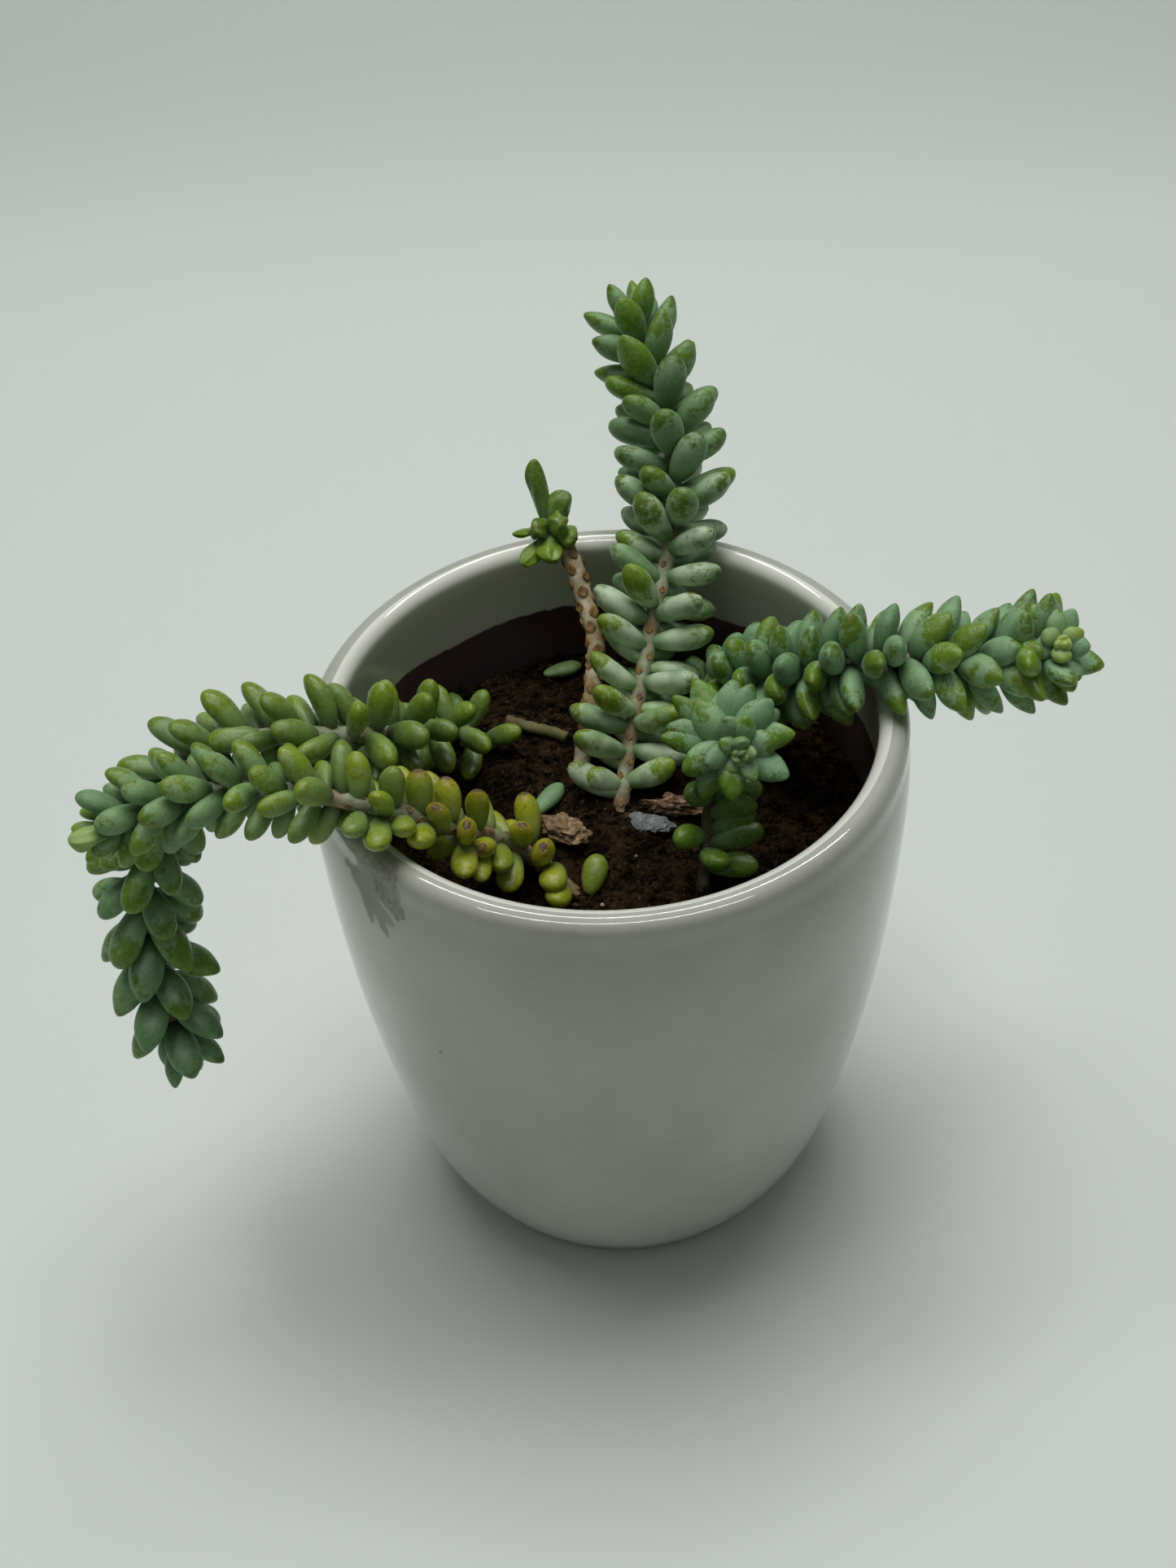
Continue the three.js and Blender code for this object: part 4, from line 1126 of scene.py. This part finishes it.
for name, item in lying.items():
    turnBy, middle = lyingTurn(item), lyingPlace(item)
    length, width, thickness = item["size"]
    if name.startswith("fallen"):
        piece = copyOf(leafModels["bean"], name)
        a, b, u = pointsOf(piece).T
        shape = np.stack([(u - 0.5) * length, a * width * 0.98,
                          b * thickness / growth["thickness"] * 0.98], 1)
        setPoints(piece, (shape @ turnBy.T + middle) * mm)
        dress(piece, shinyLeaf if "bareFrom" in item else waxyLeaf)
        stamp(piece, leafAlong=np.clip(u + item.get("bareFrom", 0), 0, 1), leafTone=0.2,
              leafBloom=item["bloom"], leafYellow=item["yellow"],
              leafYoung=0.0, leafScar=0.0, leafGap=0.0, leafThickWax=0.0)
        subdivide(piece, 2)
    else:
        pickNothing()
        bpy.ops.mesh.primitive_ico_sphere_add(subdivisions=5, radius=0.5)
        piece = named(name)
        points = pointsOf(piece)
        for i, point in enumerate(points):
            seed = Vector(point) * item["grain"] + Vector((length, 0, 0))
            ridge = item["ridges"] * (1 - abs(noise.noise(seed * 1.7)) * 2.2)
            points[i] = point * (0.8 + item["rough"] * noise.fractal(seed, 0.8, 2, 5) + ridge)
        if name == "dryLeafSkin":      # a thin curled skin
            x, y, z = points.T
            points[:, 2] = z * 0.45 + 0.3 * np.cos(y * 6) + 0.12 * np.sin(x * 8)
        setPoints(piece, ((points * item["size"]) @ turnBy.T + middle) * mm)
        dress(piece, {"dryLeafSkin": dryPale, "driedStubRight": dryRust}.get(name, dryTan))
        smooth(piece)
    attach(piece, "root")
    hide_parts(item["node"])

oldLift = oldStem["radius"] * oldStem["height"]
oldRoute = sampleRoute([[x, y, soilTop(x, y) + oldLift] for x, y in oldStem["route"]])
spots = np.arange(0, oldRoute["total"], oldStem["step"])
mossy = tube("oldStem", [routeAt(oldRoute, s)[0] for s in spots],
             [oldStem["radius"] * (0.95 + 0.12 * math.sin(2.1 * s)) for s in spots], mossyStem)
subdivide(mossy, 1)
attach(mossy, "root")
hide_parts(oldStem["node"])
discard(*leafModels.values())
print("loose bits laid")

stage = {
    "floor": colour(228, 234, 228), "far": colour(205, 211, 206), "shadeFrom": 0.4, "shadeTo": 0.68,
    "back": 0.42, "bend": 0.9, "bendSteps": 32, "slope": 80, "width": 8, "near": -4, "rise": 3,
    "lean": 0.2, "below": 0.00005,
}


def stageMaterial():
    r = Recipe("paleFloor")
    depth = r.parts(r.where)[1]
    # painted shade: the floor and backdrop turn darker towards the back, where the light falls off
    shade = r.mix(r.rise(depth, stage["shadeFrom"], stage["shadeTo"]), stage["floor"], stage["far"])
    return r.finish({"Base Color": shade, "Roughness": 0.6})


pickNothing()
bpy.ops.mesh.primitive_plane_add(size=1)
floor = named("floor")
floor.scale = (stage["width"], stage["back"] - stage["near"], 1)
floor.location = (0, (stage["back"] + stage["near"]) / 2, -stage["below"])
settle(floor)
editing(floor)
bpy.context.tool_settings.mesh_select_mode = (False, True, False)
sketch = bmesh.from_edit_mesh(floor.data)
for edge in sketch.edges:
    edge.select = all(v.co.y > stage["back"] - 0.001 for v in edge.verts)
bmesh.update_edit_mesh(floor.data)
bpy.ops.mesh.spin(steps=stage["bendSteps"], angle=-math.radians(stage["slope"]),
                  center=(0, stage["back"], stage["bend"]), axis=(1, 0, 0))
bpy.ops.mesh.extrude_region_move(TRANSFORM_OT_translate={"value": (0, stage["lean"], stage["rise"])})
objectMode()
smooth(floor)
dress(floor, stageMaterial())

lights = {
    "overhead": {"at": (-0.05, 0.24, 1.5), "to": (0, 0.1, 0.1), "size": (0.95, 0.75), "power": 14.7,
                 "gloss": False},
    "stripBack": {"at": (0, 0.5, 1.3), "to": (0, 0, 0.139), "size": (1.5, 0.1), "power": 15,
                  "gloss": True},
    "stripFront": {"at": (0, -0.42, 1.35), "to": (0, 0, 0.139), "size": (1.5, 0.08), "power": 11,
                   "gloss": True},
}
for name, light in lights.items():      # one soft light from above, and two strips seen only in the gloss
    data = bpy.data.lights.new(name, "AREA")
    data.shape = "RECTANGLE"
    data.size, data.size_y = light["size"]
    data.energy = light["power"]
    lamp = bpy.data.objects.new(name, data)
    lamp.location = light["at"]
    lamp.rotation_euler = (Vector(light["to"]) - Vector(light["at"])).to_track_quat("-Z", "Y").to_euler()
    lamp.visible_diffuse = not light["gloss"]
    lamp.visible_glossy = light["gloss"]
    bpy.context.collection.objects.link(lamp)

room = {"colour": (0.93, 1.0, 0.94, 1), "strength": 0.13}
world = bpy.data.worlds.new("softRoom")
bpy.context.scene.world = world
world.use_nodes = True
background = world.node_tree.nodes["Background"]
background.inputs[0].default_value = room["colour"]
background.inputs[1].default_value = room["strength"]
bpy.context.scene.view_settings.view_transform = "Standard"

camera = {
    "at": (0, -0.2767, 0.3820), "right": (0.9989, -0.0219, -0.0405), "up": (0.0443, 0.6932, 0.7194),
    "ahead": (-0.0123, 0.7204, -0.6934), "focal": 2184.62, "frame": (1445, 1927), "sensor": 24,
    "clip": (0.01, 30),
}
lens = bpy.data.cameras.new("view")
lens.sensor_fit = "VERTICAL"
lens.sensor_height = camera["sensor"]
lens.lens = camera["focal"] / camera["frame"][1] * camera["sensor"]
lens.clip_start, lens.clip_end = camera["clip"]
view = bpy.data.objects.new("view", lens)
columns = Matrix((camera["right"], camera["up"], [-v for v in camera["ahead"]])).transposed()
view.matrix_world = Matrix.Translation(camera["at"]) @ columns.to_4x4()
bpy.context.collection.objects.link(view)
bpy.context.scene.camera = view
print("stage, lights and camera set")
